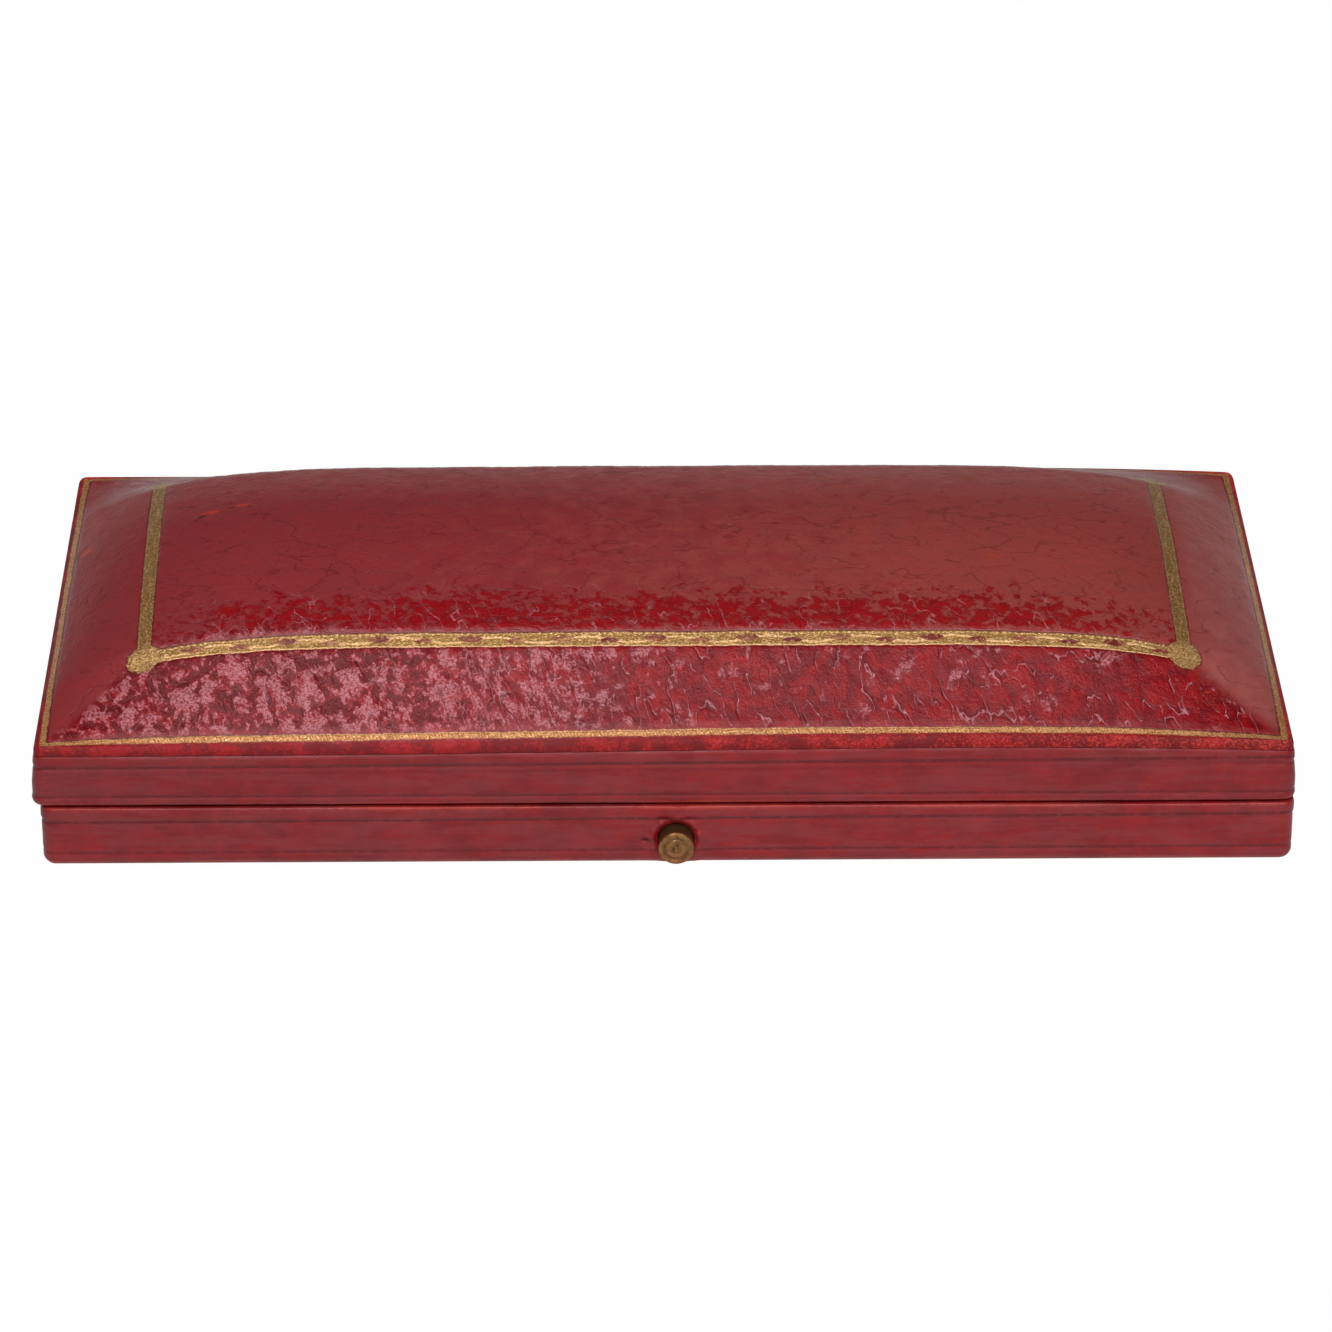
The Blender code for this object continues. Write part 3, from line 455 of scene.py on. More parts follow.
class GroupMaker(Graph):
    """A new shader node group with named inputs and outputs."""

    def __init__(self, name: str, inputs: Sequence[str], outputs: Sequence[str]) -> None:
        """Makes the group.

        Args:
            name: the group's name.
            inputs: input names; Vector is a vector, names ending in Colour are colours.
            outputs: output names, in the same way.
        """
        super().__init__(bpy.data.node_groups.new(name, "ShaderNodeTree"))
        for direction, names in (("INPUT", inputs), ("OUTPUT", outputs)):
            for socket in names:
                self.tree.interface.new_socket(name=socket, in_out=direction, socket_type=self.kind(socket))
        self.given = self.outputs(self.node("NodeGroupInput"))
        self.result = self.node("NodeGroupOutput")

    def closed(self, **results: Feed) -> Group:
        """Feeds the group's outputs by name and returns the group."""
        self.fill(self.result, **results)
        return self.tree

    @staticmethod
    def kind(name: str) -> str:
        """The socket type that a name stands for."""
        if name in ("Vector", "Centre", "Reach"):
            return "NodeSocketVector"
        return "NodeSocketColor" if name.endswith("Colour") else "NodeSocketFloat"


def leather_grain_group() -> Group:
    """Fine leather grain: a height and a mottle, from pebbles of a given size.

    Returns:
        The group.
    """
    group = GroupMaker("leather_grain", ["Vector", "Pebble"], ["Height", "Mottle"])
    vector = group.given["Vector"]
    pebble = group.given["Pebble"]
    cells = group.node("ShaderNodeTexVoronoi", feature="F1")
    group.fill(cells, Vector=vector, Scale=group.maths("DIVIDE", 1.0, pebble))
    fine = group.noise(vector, pebble * (1 / 3.1), 3.0)
    domed = group.ramp(group.outputs(cells)["Distance"], 0.05, 0.75, 1.0, 0.0)
    height = domed * 0.7 + fine * 0.5
    return group.closed(Height=height, Mottle=group.noise(vector, 2.2 * MM, 4.0, 0.6))


def wrinkle_group() -> Group:
    """Thin broken wrinkles along the contours of a noise, with a shadow on one side.

    Returns:
        The group.
    """
    group = GroupMaker("wrinkles", ["Vector", "Size", "Width", "Gaps"], ["Line", "Shadow"])
    vector = group.given["Vector"]
    size, width, start = (group.given[name] for name in ("Size", "Width", "Gaps"))
    off = group.noise(vector, size, 3.0, 0.36) - 0.5
    gaps = group.noise(vector, size * (1 / 1.6))
    broken = group.ramp(gaps, start, start + 0.1)
    line = group.ramp(abs(off), width * 0.35, width, 1.0, 0.0)
    beside = abs(off - width * 2.4)
    shadow = group.ramp(beside, width * 0.6, width * 1.9, 1.0, 0.0)
    return group.closed(Line=line * broken, Shadow=shadow * broken)


def fleck_group() -> Group:
    """A worn fleck: a mask round a centre, made ragged by a noise.

    Returns:
        The group.
    """
    group = GroupMaker("fleck", ["Vector", "Centre", "Reach", "Rough", "Ragged"], ["Mask"])
    vector = group.given["Vector"]
    for operation, name in (("SUBTRACT", "Centre"), ("DIVIDE", "Reach")):
        made = group.node("ShaderNodeVectorMath", operation=operation)
        group.feed(made.inputs[0], vector)
        group.feed(made.inputs[1], group.given[name])
        vector = group.outputs(made)["Vector"]
    away = group.node("ShaderNodeVectorMath", operation="LENGTH")
    group.feed(away.inputs[0], vector)
    rough = (group.given["Rough"] - 0.5) * group.given["Ragged"]
    return group.closed(Mask=group.ramp(group.outputs(away)["Value"] + rough, 0.7, 1.05, 1.0, 0.0))


def worn_edge_group() -> Group:
    """Rubbed leather: breaks a mask up into patches.

    Returns:
        The group.
    """
    group = GroupMaker("worn_edge", ["Vector", "Edge", "Amount"], ["Mask"])
    vector = group.given["Vector"]
    broad = group.noise(vector, 9 * MM, 2.0)
    fine = group.noise(vector, 0.7 * MM, 4.0, 0.7)
    patch = broad * 1.1 + fine * 0.9
    edge = group.given["Edge"] * group.given["Amount"]
    return group.closed(Mask=group.ramp(patch + edge, 1.45, 1.75))


@dataclass(frozen=True)
class LidForm:
    """The outer form of the lid: a pillow over an arched edge."""

    edge_z: float = 0.0140
    rise: float = 0.0093
    x_power: float = 6.4
    bevel_slope: float = 0.63
    back_slope: float = 0.593
    back_fall: float = 0.00043
    back_crest: float = 0.0195
    panel_fall: float = 0.5
    crest_blend: float = 0.0004
    edge_arch: float = 0.00075
    arch_power: float = 6.0
    arch_skew: float = 0.6
    seam_z: float = 0.0131
    seam_arch: float = 0.00055
    corner_radius: float = 0.0010
    edge_radius: float = 0.0010
    leather: float = 0.0006
    skin_drop: float = 0.0007

    @property
    def rect(self) -> Rect:
        """The lid's outline in plan."""
        return Rect.of("lid_top_leather")

    def arch_share(self, x: Array) -> Array:
        """How much of an arch stands at x: none at the ends, all at its crown, right of the middle."""
        rect = self.rect
        share = (x - rect.middle[0]) / (rect.wide / 2)
        return 1 - (share - self.arch_skew * (1 - share**2)) ** 2

    def cross_rise(self, y: Array) -> Array:
        """The cross-section above the edge: two bevels with a gently domed panel between soft crests.

        Args:
            y: places from front to back.

        Returns:
            One height each.
        """
        half = self.rect.deep / 2
        bevel = (half - np.abs(y)) * np.where(y > 0, self.back_slope, self.bevel_slope)
        panel = self.rise * (1 - self.panel_fall * (y / half) ** 2)
        panel = panel - self.back_fall * (np.maximum(y, 0) / self.back_crest) ** 2
        overlap = np.maximum(self.crest_blend - np.abs(bevel - panel), 0)
        return np.minimum(bevel, panel) - overlap**2 / self.crest_blend / 4

    def height(self, x: Array, y: Array) -> Array:
        """The height of the outer face over a point in plan.

        Args:
            x, y: the places in plan.

        Returns:
            One height each.
        """
        rect = self.rect
        x_share = np.abs(x - rect.middle[0]) / (rect.wide / 2)
        y_share = np.abs(y) / (rect.deep / 2)
        arch = self.edge_arch * self.arch_share(x) * y_share**self.arch_power
        return self.edge_z + arch + self.cross_rise(y) * (1 - x_share**self.x_power)

    def packed(self) -> "LidForm":
        """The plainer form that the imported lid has."""
        plain = {"x_power": 6.0, "back_fall": 0.0, "edge_arch": 0.00042, "arch_skew": 0.0}
        return replace(self, back_slope=self.bevel_slope, **plain)


@dataclass(frozen=True)
class Tooling:
    """Where the gilding lies on the lid, counted in from its outline, in millimetres."""

    fillet_inset: float = 0.95
    fillet_half: float = 0.30
    front_bow: float = 0.16
    band_inset: float = 10.45
    front_shift: float = 0.35
    left_taper: float = 0.022
    right_taper: float = 0.008
    band_half: float = 0.72
    roundel_radius: float = 1.75
    roll_period: float = 9.6
    roll_start: float = 0.9
    large_leaf: tuple = (1.45, 0.46)
    small_leaf: tuple = (1.15, 0.34)
    beading_pitch: float = 0.62
    cord_pitch: float = 0.34
    ring_pitch: float = 0.85
    form: LidForm = field(default_factory=LidForm)

    def gilt_group(self) -> Group:
        """The gilding as masks.

        Returns:
            A group with Gilt (where gold lies), Lustre (0 olive, 1 pale, painted highlights on the raised
            gold), Outline (painted shade along the rim of the impression, with the roll's darker gaps), Press
            (the relief of the tool) and Fillet (the outer line).
        """
        group = GroupMaker("gilt_tooling", ["Vector"], ["Gilt", "Lustre", "Outline", "Press", "Fillet"])
        rect = self.form.rect
        centred = group.place(group.given["Vector"], location=(-rect.middle[0], 0, 0))
        ragged = group.noise(centred, 0.55 * MM, 3.0, 0.65) - 0.5
        broad = group.noise(centred, 7 * MM, 1.0) - 0.5
        x, y, _ = group.axes(group.place(centred, scale=(1 / MM, 1 / MM, 1 / MM)))
        edge_x = rect.wide / 2 / MM - abs(x)
        edge_y = rect.deep / 2 / MM - abs(y)
        uneven = ragged * 0.34 + broad * 0.18
        inset = group.maths("MINIMUM", edge_x, edge_y) + uneven
        from_middle = x * (2 * MM / rect.wide)
        bowed = (1 - from_middle * from_middle) * self.front_bow
        bow = bowed * group.maths("LESS_THAN", y, 0.0)
        from_fillet = inset - self.fillet_inset - bow * group.maths("LESS_THAN", edge_y, edge_x)
        fillet = group.near(from_fillet, self.fillet_half - 0.08, 0.16)

        at_left = group.maths("LESS_THAN", x, 0.0)
        taper = group.between(at_left, self.right_taper, self.left_taper)
        at_front = group.maths("LESS_THAN", y, 0.0)
        band_x = edge_x + taper * y
        band_y = edge_y - at_front * self.front_shift
        on_long = group.maths("LESS_THAN", band_y, band_x)
        along = group.between(on_long, y, x)
        from_band = group.maths("MINIMUM", band_x, band_y) + uneven - self.band_inset
        band = group.near(from_band, self.band_half - 0.08, 0.14)
        out_x = band_x - self.band_inset
        out_y = band_y - self.band_inset
        squared = out_x * out_x + out_y * out_y
        from_roundel = group.maths("SQRT", squared)
        ragged_roundel = from_roundel + ragged * 1.1
        roundel = group.ramp(ragged_roundel, self.roundel_radius - 0.1, self.roundel_radius + 0.08, 1.0, 0.0)

        half = self.roll_period / 2
        turn = group.maths("WRAP", along + self.roll_start, half, -half)
        other = group.maths("WRAP", along + (self.roll_start + half), half, -half)
        large_gap = self.lens(group, turn, from_band - 0.12, *self.large_leaf)
        small_gap = self.lens(group, other, from_band + 0.14, *self.small_leaf)
        beside = abs(turn) - 0.48
        beads = self.bead(group, beside, from_band - 0.44, 0.24)
        beads = group.most(beads, self.bead(group, other + 0.1, from_band + 0.4, 0.26))
        gap = group.most(large_gap, small_gap) * (1 - beads)
        # Painted glare: in broad patches the roll's gaps are weakened, so that the gold runs over them.
        gaps_under_glare = group.ramp(group.noise(centred, 5 * MM, 2.0), 0.42, 0.62, 1.0, 0.6)
        speck = group.ramp(group.noise(centred, 0.28 * MM, 2.0), 0.58, 0.68)
        gap = gap * gaps_under_glare * (1 - speck * 0.6)
        in_roundel = 1 - roundel
        gap = gap * in_roundel * group.between(on_long, 0.35, 1.0)
        fine = group.noise(centred, 0.24 * MM, 3.0, 0.75)
        rubbed = group.ramp(fine, 0.55, 0.66)
        patchy = group.ramp(group.noise(centred, 9 * MM, 1.0), 0.40, 0.65, 0.45, 1.0)
        worn = rubbed * patchy * group.between(group.most(on_long, fillet), 1.0, 0.42)
        gold = group.most(fillet, roundel, band * (1 - gap))
        gold = gold * (1 - worn)

        # Lustre is pale on the roll's stem, rims and leaves, the fillet's cord and the roundel's rings, with
        # sparkles: a tooled pattern, painted paler as highlights on the raised gold.
        wave = group.maths("SINE", turn * (math.tau / self.roll_period))
        stem = group.near(from_band - wave * 0.3, 0.05, 0.16)
        rims = group.ramp(abs(from_band), self.band_half - 0.26, self.band_half - 0.10)
        slanted = group.place(
            group.joined(along, from_band * 2.4, 0.0), turn=(0, 0, 0.5), scale=(1.4, 3.2, 1)
        )
        leaf = group.ramp(group.noise(slanted, 1.0, 2.0), 0.52, 0.6) * 0.85
        beading = group.maths("SINE", along * (math.tau / self.beading_pitch))
        upper = group.maths("GREATER_THAN", from_band, 0.0)
        rims = rims * (1 - upper * group.ramp(beading, -0.2, 0.5, 0.75, 0.0))
        on_band = group.most(stem, rims, leaf)
        on_band = on_band * group.between(on_long, 0.4, 1.0)
        cord = group.maths("SINE", (along + from_fillet * 0.5) * (math.tau / self.cord_pitch))
        on_fillet = 0.5 + cord * 0.16
        rings = group.maths("SINE", from_roundel * (math.tau / self.ring_pitch))
        on_roundel = 0.42 + rings * 0.08
        lustre = group.between(fillet, on_band, on_fillet)
        lustre = group.between(roundel, lustre, on_roundel)
        grains = group.ramp(fine, 0.60, 0.38)
        share = lustre * 0.7 + (grains - 0.5) * 0.75
        shown = group.capped(share, 0.10)

        # The outline is painted shade along the rim of each impression; the roll's gaps are darkened with it.
        rim_band = group.near(abs(from_band) - (self.band_half + 0.07), 0.02, 0.13)
        rim_fillet = group.near(inset - (self.fillet_inset + self.fillet_half + 0.13), 0.05, 0.14)
        rim_roundel = group.near(ragged_roundel - (self.roundel_radius + 0.08), 0.02, 0.14)
        outline = group.most(rim_band * in_roundel, rim_fillet, rim_roundel)
        dark = group.most(outline * group.ramp(ragged, -0.16, 0.06), gap * 0.7)
        outlined = dark * (1 - gold)
        press = gold * lustre * 0.8 + outline * -0.6
        press = press + grains * gold * 0.35
        return group.closed(Gilt=gold, Lustre=shown, Outline=outlined, Press=press, Fillet=fillet)

    @staticmethod
    def lens(group: Graph, along: Signal, across: Signal, reach: float, half: float) -> Signal:
        """A lens-shaped mask with a reach along the roll and a half height across it.

        Args:
            group: where the nodes are written.
            along, across: the place on the roll.
            reach: half the length.
            half: half the height at the middle.

        Returns:
            The mask.
        """
        run = along * (1 / reach)
        rise = across * (1 / half)
        return group.ramp(run * run + abs(rise), 0.72, 1.0, 1.0, 0.0)

    @staticmethod
    def bead(group: Graph, along: Signal, across: Signal, radius: float) -> Signal:
        """A small round mask."""
        away = along * along + across * across
        return group.ramp(away, (radius * 0.7) ** 2, (radius * 1.1) ** 2, 1.0, 0.0)


class Palette:
    """Builds and keeps the case's materials, each once."""

    def __init__(self) -> None:
        """Builds the groups that several finishes share."""
        self.grain = leather_grain_group()
        self.wrinkles = wrinkle_group()
        self.fleck = fleck_group()
        self.worn_edge = worn_edge_group()
        self.made: dict[str, Material] = {}

    def start(self, name: str) -> tuple[Material, Graph, bpy.types.Node, Signal]:
        """A new material.

        Args:
            name: its name.

        Returns:
            The material, its graph, its shader and the object coordinates.
        """
        material = bpy.data.materials.new(name)
        material.use_nodes = True
        graph = Graph(material.node_tree)
        shader = material.node_tree.nodes["Principled BSDF"]
        self.made[name] = material
        return material, graph, shader, graph.outputs(graph.node("ShaderNodeTexCoord"))["Object"]


@dataclass(frozen=True)
class LeatherFinish:
    """The colours of the red leather, with its painted sheen, highlights and shade, and its gloss."""

    # Several colours here also stand for light: the cell shade, the valley red and the dark as painted shade,
    # the pale pink as painted highlights, the mauve and the two roses as painted sheen.
    deep: tuple = paint(114, 10, 18)
    bright: tuple = paint(150, 14, 20)
    cell: tuple = paint(152, 4, 14)
    cell_shade: tuple = paint(112, 4, 14)
    deep_rim: tuple = paint(108, 0, 6)
    valley_red: tuple = paint(94, 0, 12)
    pale: tuple = paint(206, 142, 152)
    sheen_mauve: tuple = paint(184, 114, 124)
    dust_and_sheen: tuple = paint(134, 53, 55)
    brownish: tuple = paint(146, 70, 64)
    sheen_rose: tuple = paint(178, 114, 110)
    rubbed: tuple = paint(184, 56, 42)
    dark: tuple = paint(74, 14, 20)
    gold_olive: tuple = paint(146, 106, 44)
    gold_pale: tuple = paint(246, 198, 140)
    fillet_deep: tuple = paint(168, 104, 54)
    fillet_pale: tuple = paint(250, 192, 134)
    roughness: float = 0.34
    side_roughness: float = 0.42
    gilt_roughness: float = 0.38
    ior: float = 1.42
    lean: float = -0.34
    nick_reach: tuple = (0.46 * MM, 9 * MM, 0.17 * MM)
    lid_pebble: float = 0.62 * MM
    side_pebble: float = 0.5 * MM
    bottom_pebble: float = 0.9 * MM
    granule_size: float = 0.26 * MM
    patch_size: float = 2.6 * MM

    def ground(self, graph: Graph, mottle: Signal, vector: Signal) -> Signal:
        """The mottled red that all the leather shares."""
        broad = graph.ramp(graph.noise(vector, 14 * MM, 2.0), 0.35, 0.65)
        share = graph.capped(graph.ramp(mottle, 0.3, 0.7) * 0.7, broad * 0.3)
        return graph.mix(share, self.deep, self.bright)

    def lid_top(self, palette: Palette, tooling: Tooling) -> Material:
        """The lid's grained and gilt top, with painted sheen, highlights and shade on its grain.

        Args:
            palette: holds the shared groups.
            tooling: where the gilding lies.

        Returns:
            The material.
        """
        material, graph, shader, vector = palette.start("grained_red_leather")
        bevel, lump, strip, panel, left, rim = (graph.attribute(name) for name in LidTop.KINDS)
        grain = graph.use(palette.grain, Vector=vector, Pebble=self.lid_pebble)
        granule = graph.noise(vector, self.granule_size, 3.0, 0.72)
        patch = graph.noise(vector, self.patch_size, 3.0, 0.6)
        turned = graph.place(vector, turn=(0, 0, self.lean))
        leaned = graph.place(turned, scale=(1.0, 0.36, 0.36))
        threads = graph.use(palette.wrinkles, Vector=leaned, Size=1.9 * MM, Width=0.012, Gaps=0.44)
        drawn = graph.place(vector, scale=(0.6, 1, 1))
        creases = graph.use(palette.wrinkles, Vector=drawn, Size=3.6 * MM, Width=0.014, Gaps=0.34)
        drawn = graph.place(vector, turn=(0, 0, 0.8), scale=(0.7, 1, 1))
        fine_creases = graph.use(palette.wrinkles, Vector=drawn, Size=1.8 * MM, Width=0.012, Gaps=0.46)

        colour = self.ground(graph, grain["Mottle"], vector)
        x, y, _ = graph.axes(vector)
        # The flat panel is muted to a mauve-brown: partly painted sheen of the backdrop on the flat top, partly
        # fading.
        across = x + (patch - 0.5) * 0.12
        panel_sheen = graph.mix(graph.ramp(across, -0.03, 0.03), self.dust_and_sheen, self.brownish)
        colour = graph.over(colour, panel_sheen, panel, 0.74)
        # Painted sheen: the right slope and the back of the top are paled towards a rose haze.
        far = graph.most(graph.ramp(x, 53 * MM, 58 * MM), graph.ramp(y, 4 * MM, 20 * MM, 0.0, 0.8))
        far = far * (1 - bevel)
        colour = graph.over(colour, self.sheen_rose, far, graph.ramp(patch, 0.3, 0.7, 0.16, 0.34))
        spotted = graph.noise(graph.place(vector, turn=(0, 0, 0.5)), 1.15 * MM, 4.0, 0.66)
        blobs = graph.ramp(spotted, graph.between(strip, 0.60, 0.40), graph.between(strip, 0.74, 0.56))
        in_strip = graph.ramp(strip, 0.02, 0.35)
        # Painted shade in the creases round the strip's red cells.
        blob_crease_shade = blobs * (1 - blobs) * 2.6
        colour = graph.over(colour, self.cell_shade, in_strip, blob_crease_shade)
        cell = graph.mix(graph.ramp(granule, 0.36, 0.58), self.cell_shade, self.cell)
        colour = graph.over(colour, cell, in_strip, blobs * 0.9)

        on_left = graph.ramp(left, 0.0, 0.75)
        lumpy = graph.ramp(left, 0.62, 0.97)
        broken = graph.noise(leaned, 0.75 * MM, 4.0, 0.72)
        split = graph.noise(graph.place(turned, scale=(1.0, 0.7, 0.7)), 0.95 * MM, 3.0, 0.6)
        ragged = (granule - 0.5) * 0.7 + (broken - 0.5)
        rough_lump = lump + ragged + (split - 0.5) * 2.3
        streaked = broken + (patch - 0.5) * 0.25 + (split - 0.5) * 0.35
        # Painted sheen: the tops of the lumps at the left and the streaks in the middle of the bevel take a
        # mauve sheen, spread wider towards the left.
        top = graph.between(lumpy, graph.ramp(streaked, 0.48, 0.56), graph.ramp(rough_lump, 0.20, 0.36))
        cover = patch + graph.between(on_left, -0.16, 0.13)
        sheen_mask = top * graph.ramp(cover, 0.4, 0.52) * graph.ramp(granule, 0.43, 0.53, 0.1, 1.0)
        # Painted shade: the valleys between the bevel's lumps are darkened.
        valley_shade = graph.ramp(rough_lump, 0.02, 0.16, 1.0, 0.0) * graph.between(lumpy, 0.55, 0.9)
        valley_shade_colour = graph.mix(graph.ramp(granule, 0.5, 0.6), self.valley_red, self.dark)
        colour = graph.over(colour, valley_shade_colour, bevel, valley_shade, 0.9)
        # The painted sheen is laid on here.
        colour = graph.over(colour, self.sheen_mauve, bevel, sheen_mask * 0.8)
        # Painted highlights: pale glints on the brightest grains of the sheen.
        glints = sheen_mask * graph.ramp(granule, 0.6, 0.68)
        colour = graph.over(colour, self.pale, bevel, glints * 0.6)
        # Painted shade: dark beside the bevel's wrinkles and in the panel's creases.
        crease = graph.most(creases["Line"] * 0.48, fine_creases["Line"] * 0.4)
        shade = graph.most(bevel * threads["Shadow"] * 0.8, panel * crease)
        colour = graph.over(colour, self.dark, shade, 0.62)
        # Painted highlights: pale streaks along the wrinkles' ridges on the bevel and in the strip.
        thread = threads["Line"] * graph.ramp(granule, 0.38, 0.54, 0.25, 1.0)
        highlight_streaks = graph.most(bevel * graph.between(lumpy, 1.0, 0.35), strip * 0.55) * thread
        colour = graph.over(colour, self.pale, highlight_streaks, 0.75)

        mottled = patch + (granule - 0.5) * 0.8
        rim_red = graph.mix(graph.ramp(mottled, 0.42, 0.60), self.deep_rim, self.cell)
        colour = graph.over(colour, rim_red, rim, 0.95)
        frayed = graph.ramp(granule, 0.51, 0.6) * graph.ramp(patch + x * 4.0, 0.44, 0.72)
        colour = graph.over(colour, self.rubbed, rim, frayed * 0.85)
        colour = self.marks(graph, palette, vector, granule, colour)

        gilt = graph.use(tooling.gilt_group(), Vector=vector)
        # Painted shade along the rim of each gilt impression.
        colour = graph.over(colour, self.dark, gilt["Outline"], 0.8)
        deep_gold = graph.mix(gilt["Fillet"], self.gold_olive, self.fillet_deep)
        bright_gold = graph.mix(gilt["Fillet"], self.gold_pale, self.fillet_pale)
        gold = graph.mix(gilt["Lustre"], deep_gold, bright_gold)
        colour = graph.mix(gilt["Gilt"], colour, gold)
        rough = graph.ramp(grain["Mottle"], 0.2, 0.8, self.roughness + 0.06, self.roughness - 0.06)
        rough = rough + rim * 0.34
        rough = graph.between(gilt["Gilt"], rough, self.gilt_roughness)
        height = grain["Height"] * 0.3 + granule * (0.25 + bevel * 0.9)
        height = height + bevel * broken * 0.9
        height = height + (highlight_streaks - shade) * 0.55
        height = height + graph.most(strip, panel * 0.3) * blobs * 0.35
        pressed_flat = 1 - gilt["Gilt"] * 0.85
        height = height * pressed_flat + gilt["Press"] * 0.7
        metal = gilt["Gilt"] * 0.55
        normal = graph.bump(height, 0.12 * MM, 0.8)
        graph.fill(shader, Base_Color=colour, Metallic=metal, Roughness=rough, Normal=normal, IOR=self.ior)
        return material

    def marks(
        self, graph: Graph, palette: Palette, vector: Signal, granule: Signal, colour: Signal
    ) -> Signal:
        """The few flecks and scuffs of the lid's top, with painted shadow at the edge of the torn flecks, laid
        over a colour.

        Args:
            graph: the material's graph.
            palette: holds the fleck group.
            vector: the object coordinates.
            granule: a fine noise that breaks the scuffs up.
            colour: the colour under them.

        Returns:
            The colour with the marks.
        """
        rough = graph.noise(vector, 0.5 * MM, 4.0, 0.7)
        specks = graph.ramp(rough * 0.6 + granule * 0.4, 0.50, 0.58)
        flecks = (
            ((21.3, 2.0, 22.0), (1.0, 19.0, 9.0), 5.0, self.rubbed, 0.45, specks),
            ((35.0, -6.2, 22.5), (2.2, 2.2, 9.0), 5.0, self.rubbed, 0.60, specks),
            ((42.0, -7.5, 22.5), (6.0, 5.0, 9.0), 5.0, self.rubbed, 0.30, specks),
            ((-3.8, -9.7, 22.5), (1.4, 0.9, 9.0), 4.0, self.rubbed, 0.55, specks),
            ((56.3, -25.2, 16.4), (3.8, 2.2, 9.0), 5.0, self.rubbed, 0.70, specks),
            # The dark flecks beside the torn ones are painted shadow at their edges; the rubbed ones are wear.
            ((-49.9, 6.6, 21.0), (0.55, 0.4, 9.0), 2.0, self.dark, 0.8, 1.0),
            ((-49.0, 7.4, 21.0), (1.0, 0.6, 9.0), 2.0, self.rubbed, 0.75, 1.0),
            ((-46.6, 7.9, 21.0), (0.35, 0.3, 9.0), 2.0, self.dark, 0.8, 1.0),
            ((-45.6, 8.3, 21.0), (0.9, 0.35, 9.0), 2.0, self.rubbed, 0.7, 1.0),
            ((-63.2, 9.2, 15.0), (1.0, 1.1, 9.0), 1.4, self.dark, 0.6, 1.0),
            ((-62.8, 8.8, 15.0), (0.8, 0.9, 9.0), 1.6, self.rubbed, 0.75, 1.0),
        )
        for centre, reach, ragged, tint, strength, broken in flecks:
            centre, reach = ([value * MM for value in place] for place in (centre, reach))
            made = graph.use(
                palette.fleck, Vector=vector, Centre=centre, Reach=reach, Rough=rough, Ragged=ragged
            )
            colour = graph.over(colour, tint, made["Mask"] * strength, broken)
        return colour

    def side(
        self,
        palette: Palette,
        name: str,
        lines: Sequence["BlindLine"],
        wear_levels: Sequence[tuple[float, float]],
        shade: float,
        nick: Optional[Vector] = None,
    ) -> Material:
        """The smoother leather of a wall with its blind lines.

        Args:
            palette: holds the shared groups.
            name: the material's name.
            lines: the tooled lines.
            wear_levels: heights and widths of the edges that are rubbed.
            shade: painted shade, how much darker the wall is than the shared red.
            nick: the middle of the slit beside the button, darkened with painted shade, if there is one.

        Returns:
            The material.
        """
        material, graph, shader, vector = palette.start(name)
        grain = graph.use(palette.grain, Vector=vector, Pebble=self.side_pebble)
        colour = self.ground(graph, grain["Mottle"], graph.place(vector, scale=(0.6, 1, 1)))
        # Lengthwise streaks muted towards the dusty rose: partly mottle, partly painted sheen of the pale
        # floor.
        drawn_out = graph.noise(graph.place(vector, scale=(0.16, 0.16, 1)), 1.1 * MM, 4.0, 0.66)
        colour = graph.mix(graph.ramp(drawn_out, 0.38, 0.62, 0.06, 0.50), colour, self.dust_and_sheen)
        x, _, z = graph.axes(vector)
        # Painted shade: the wall darkened by its share, and more towards its left end.
        colour = graph.mix(graph.ramp(x, -65 * MM, 10 * MM, 0.07, 0.0) + shade, colour, self.dark)
        ragged = graph.noise(vector, 1.6 * MM, 3.0, 0.6) - 0.5
        pressed: Feed = 0.0
        for line in lines:
            level = line.z + (x + 0.065) * line.slant
            away = z - level + ragged * (0.18 * MM)
            dashes = graph.ramp(
                graph.noise(graph.place(vector, scale=(1, 1, 0.2)), 1.1 * MM, 3.0, 0.7), 0.36, 0.56, 0.35, 1.0
            )
            pressed = graph.most(pressed, graph.near(away, 0.08 * MM, 0.2 * MM) * dashes * line.depth)
        colour = graph.over(colour, self.valley_red, pressed, 0.9)
        for level, half in wear_levels:
            edge = graph.near(z - level, half * 0.3, half)
            worn = graph.use(palette.worn_edge, Vector=vector, Edge=edge, Amount=0.62)["Mask"]
            colour = graph.over(colour, self.rubbed, worn, edge * 0.4)
        # Painted shade: the slit beside the button is darkened.
        if nick is not None:
            reach = self.nick_reach
            cut = graph.use(palette.fleck, Vector=vector, Centre=nick, Reach=reach, Rough=ragged, Ragged=0.0)
            colour = graph.over(colour, self.dark, cut["Mask"], 0.85)
        rough = graph.ramp(grain["Mottle"], 0.2, 0.8, self.side_roughness + 0.06, self.side_roughness - 0.06)
        height = grain["Height"] * 0.45 + pressed * -0.8
        normal = graph.bump(height, 0.07 * MM, 0.6)
        graph.fill(shader, Base_Color=colour, Roughness=rough, Normal=normal, IOR=self.ior)
        return material

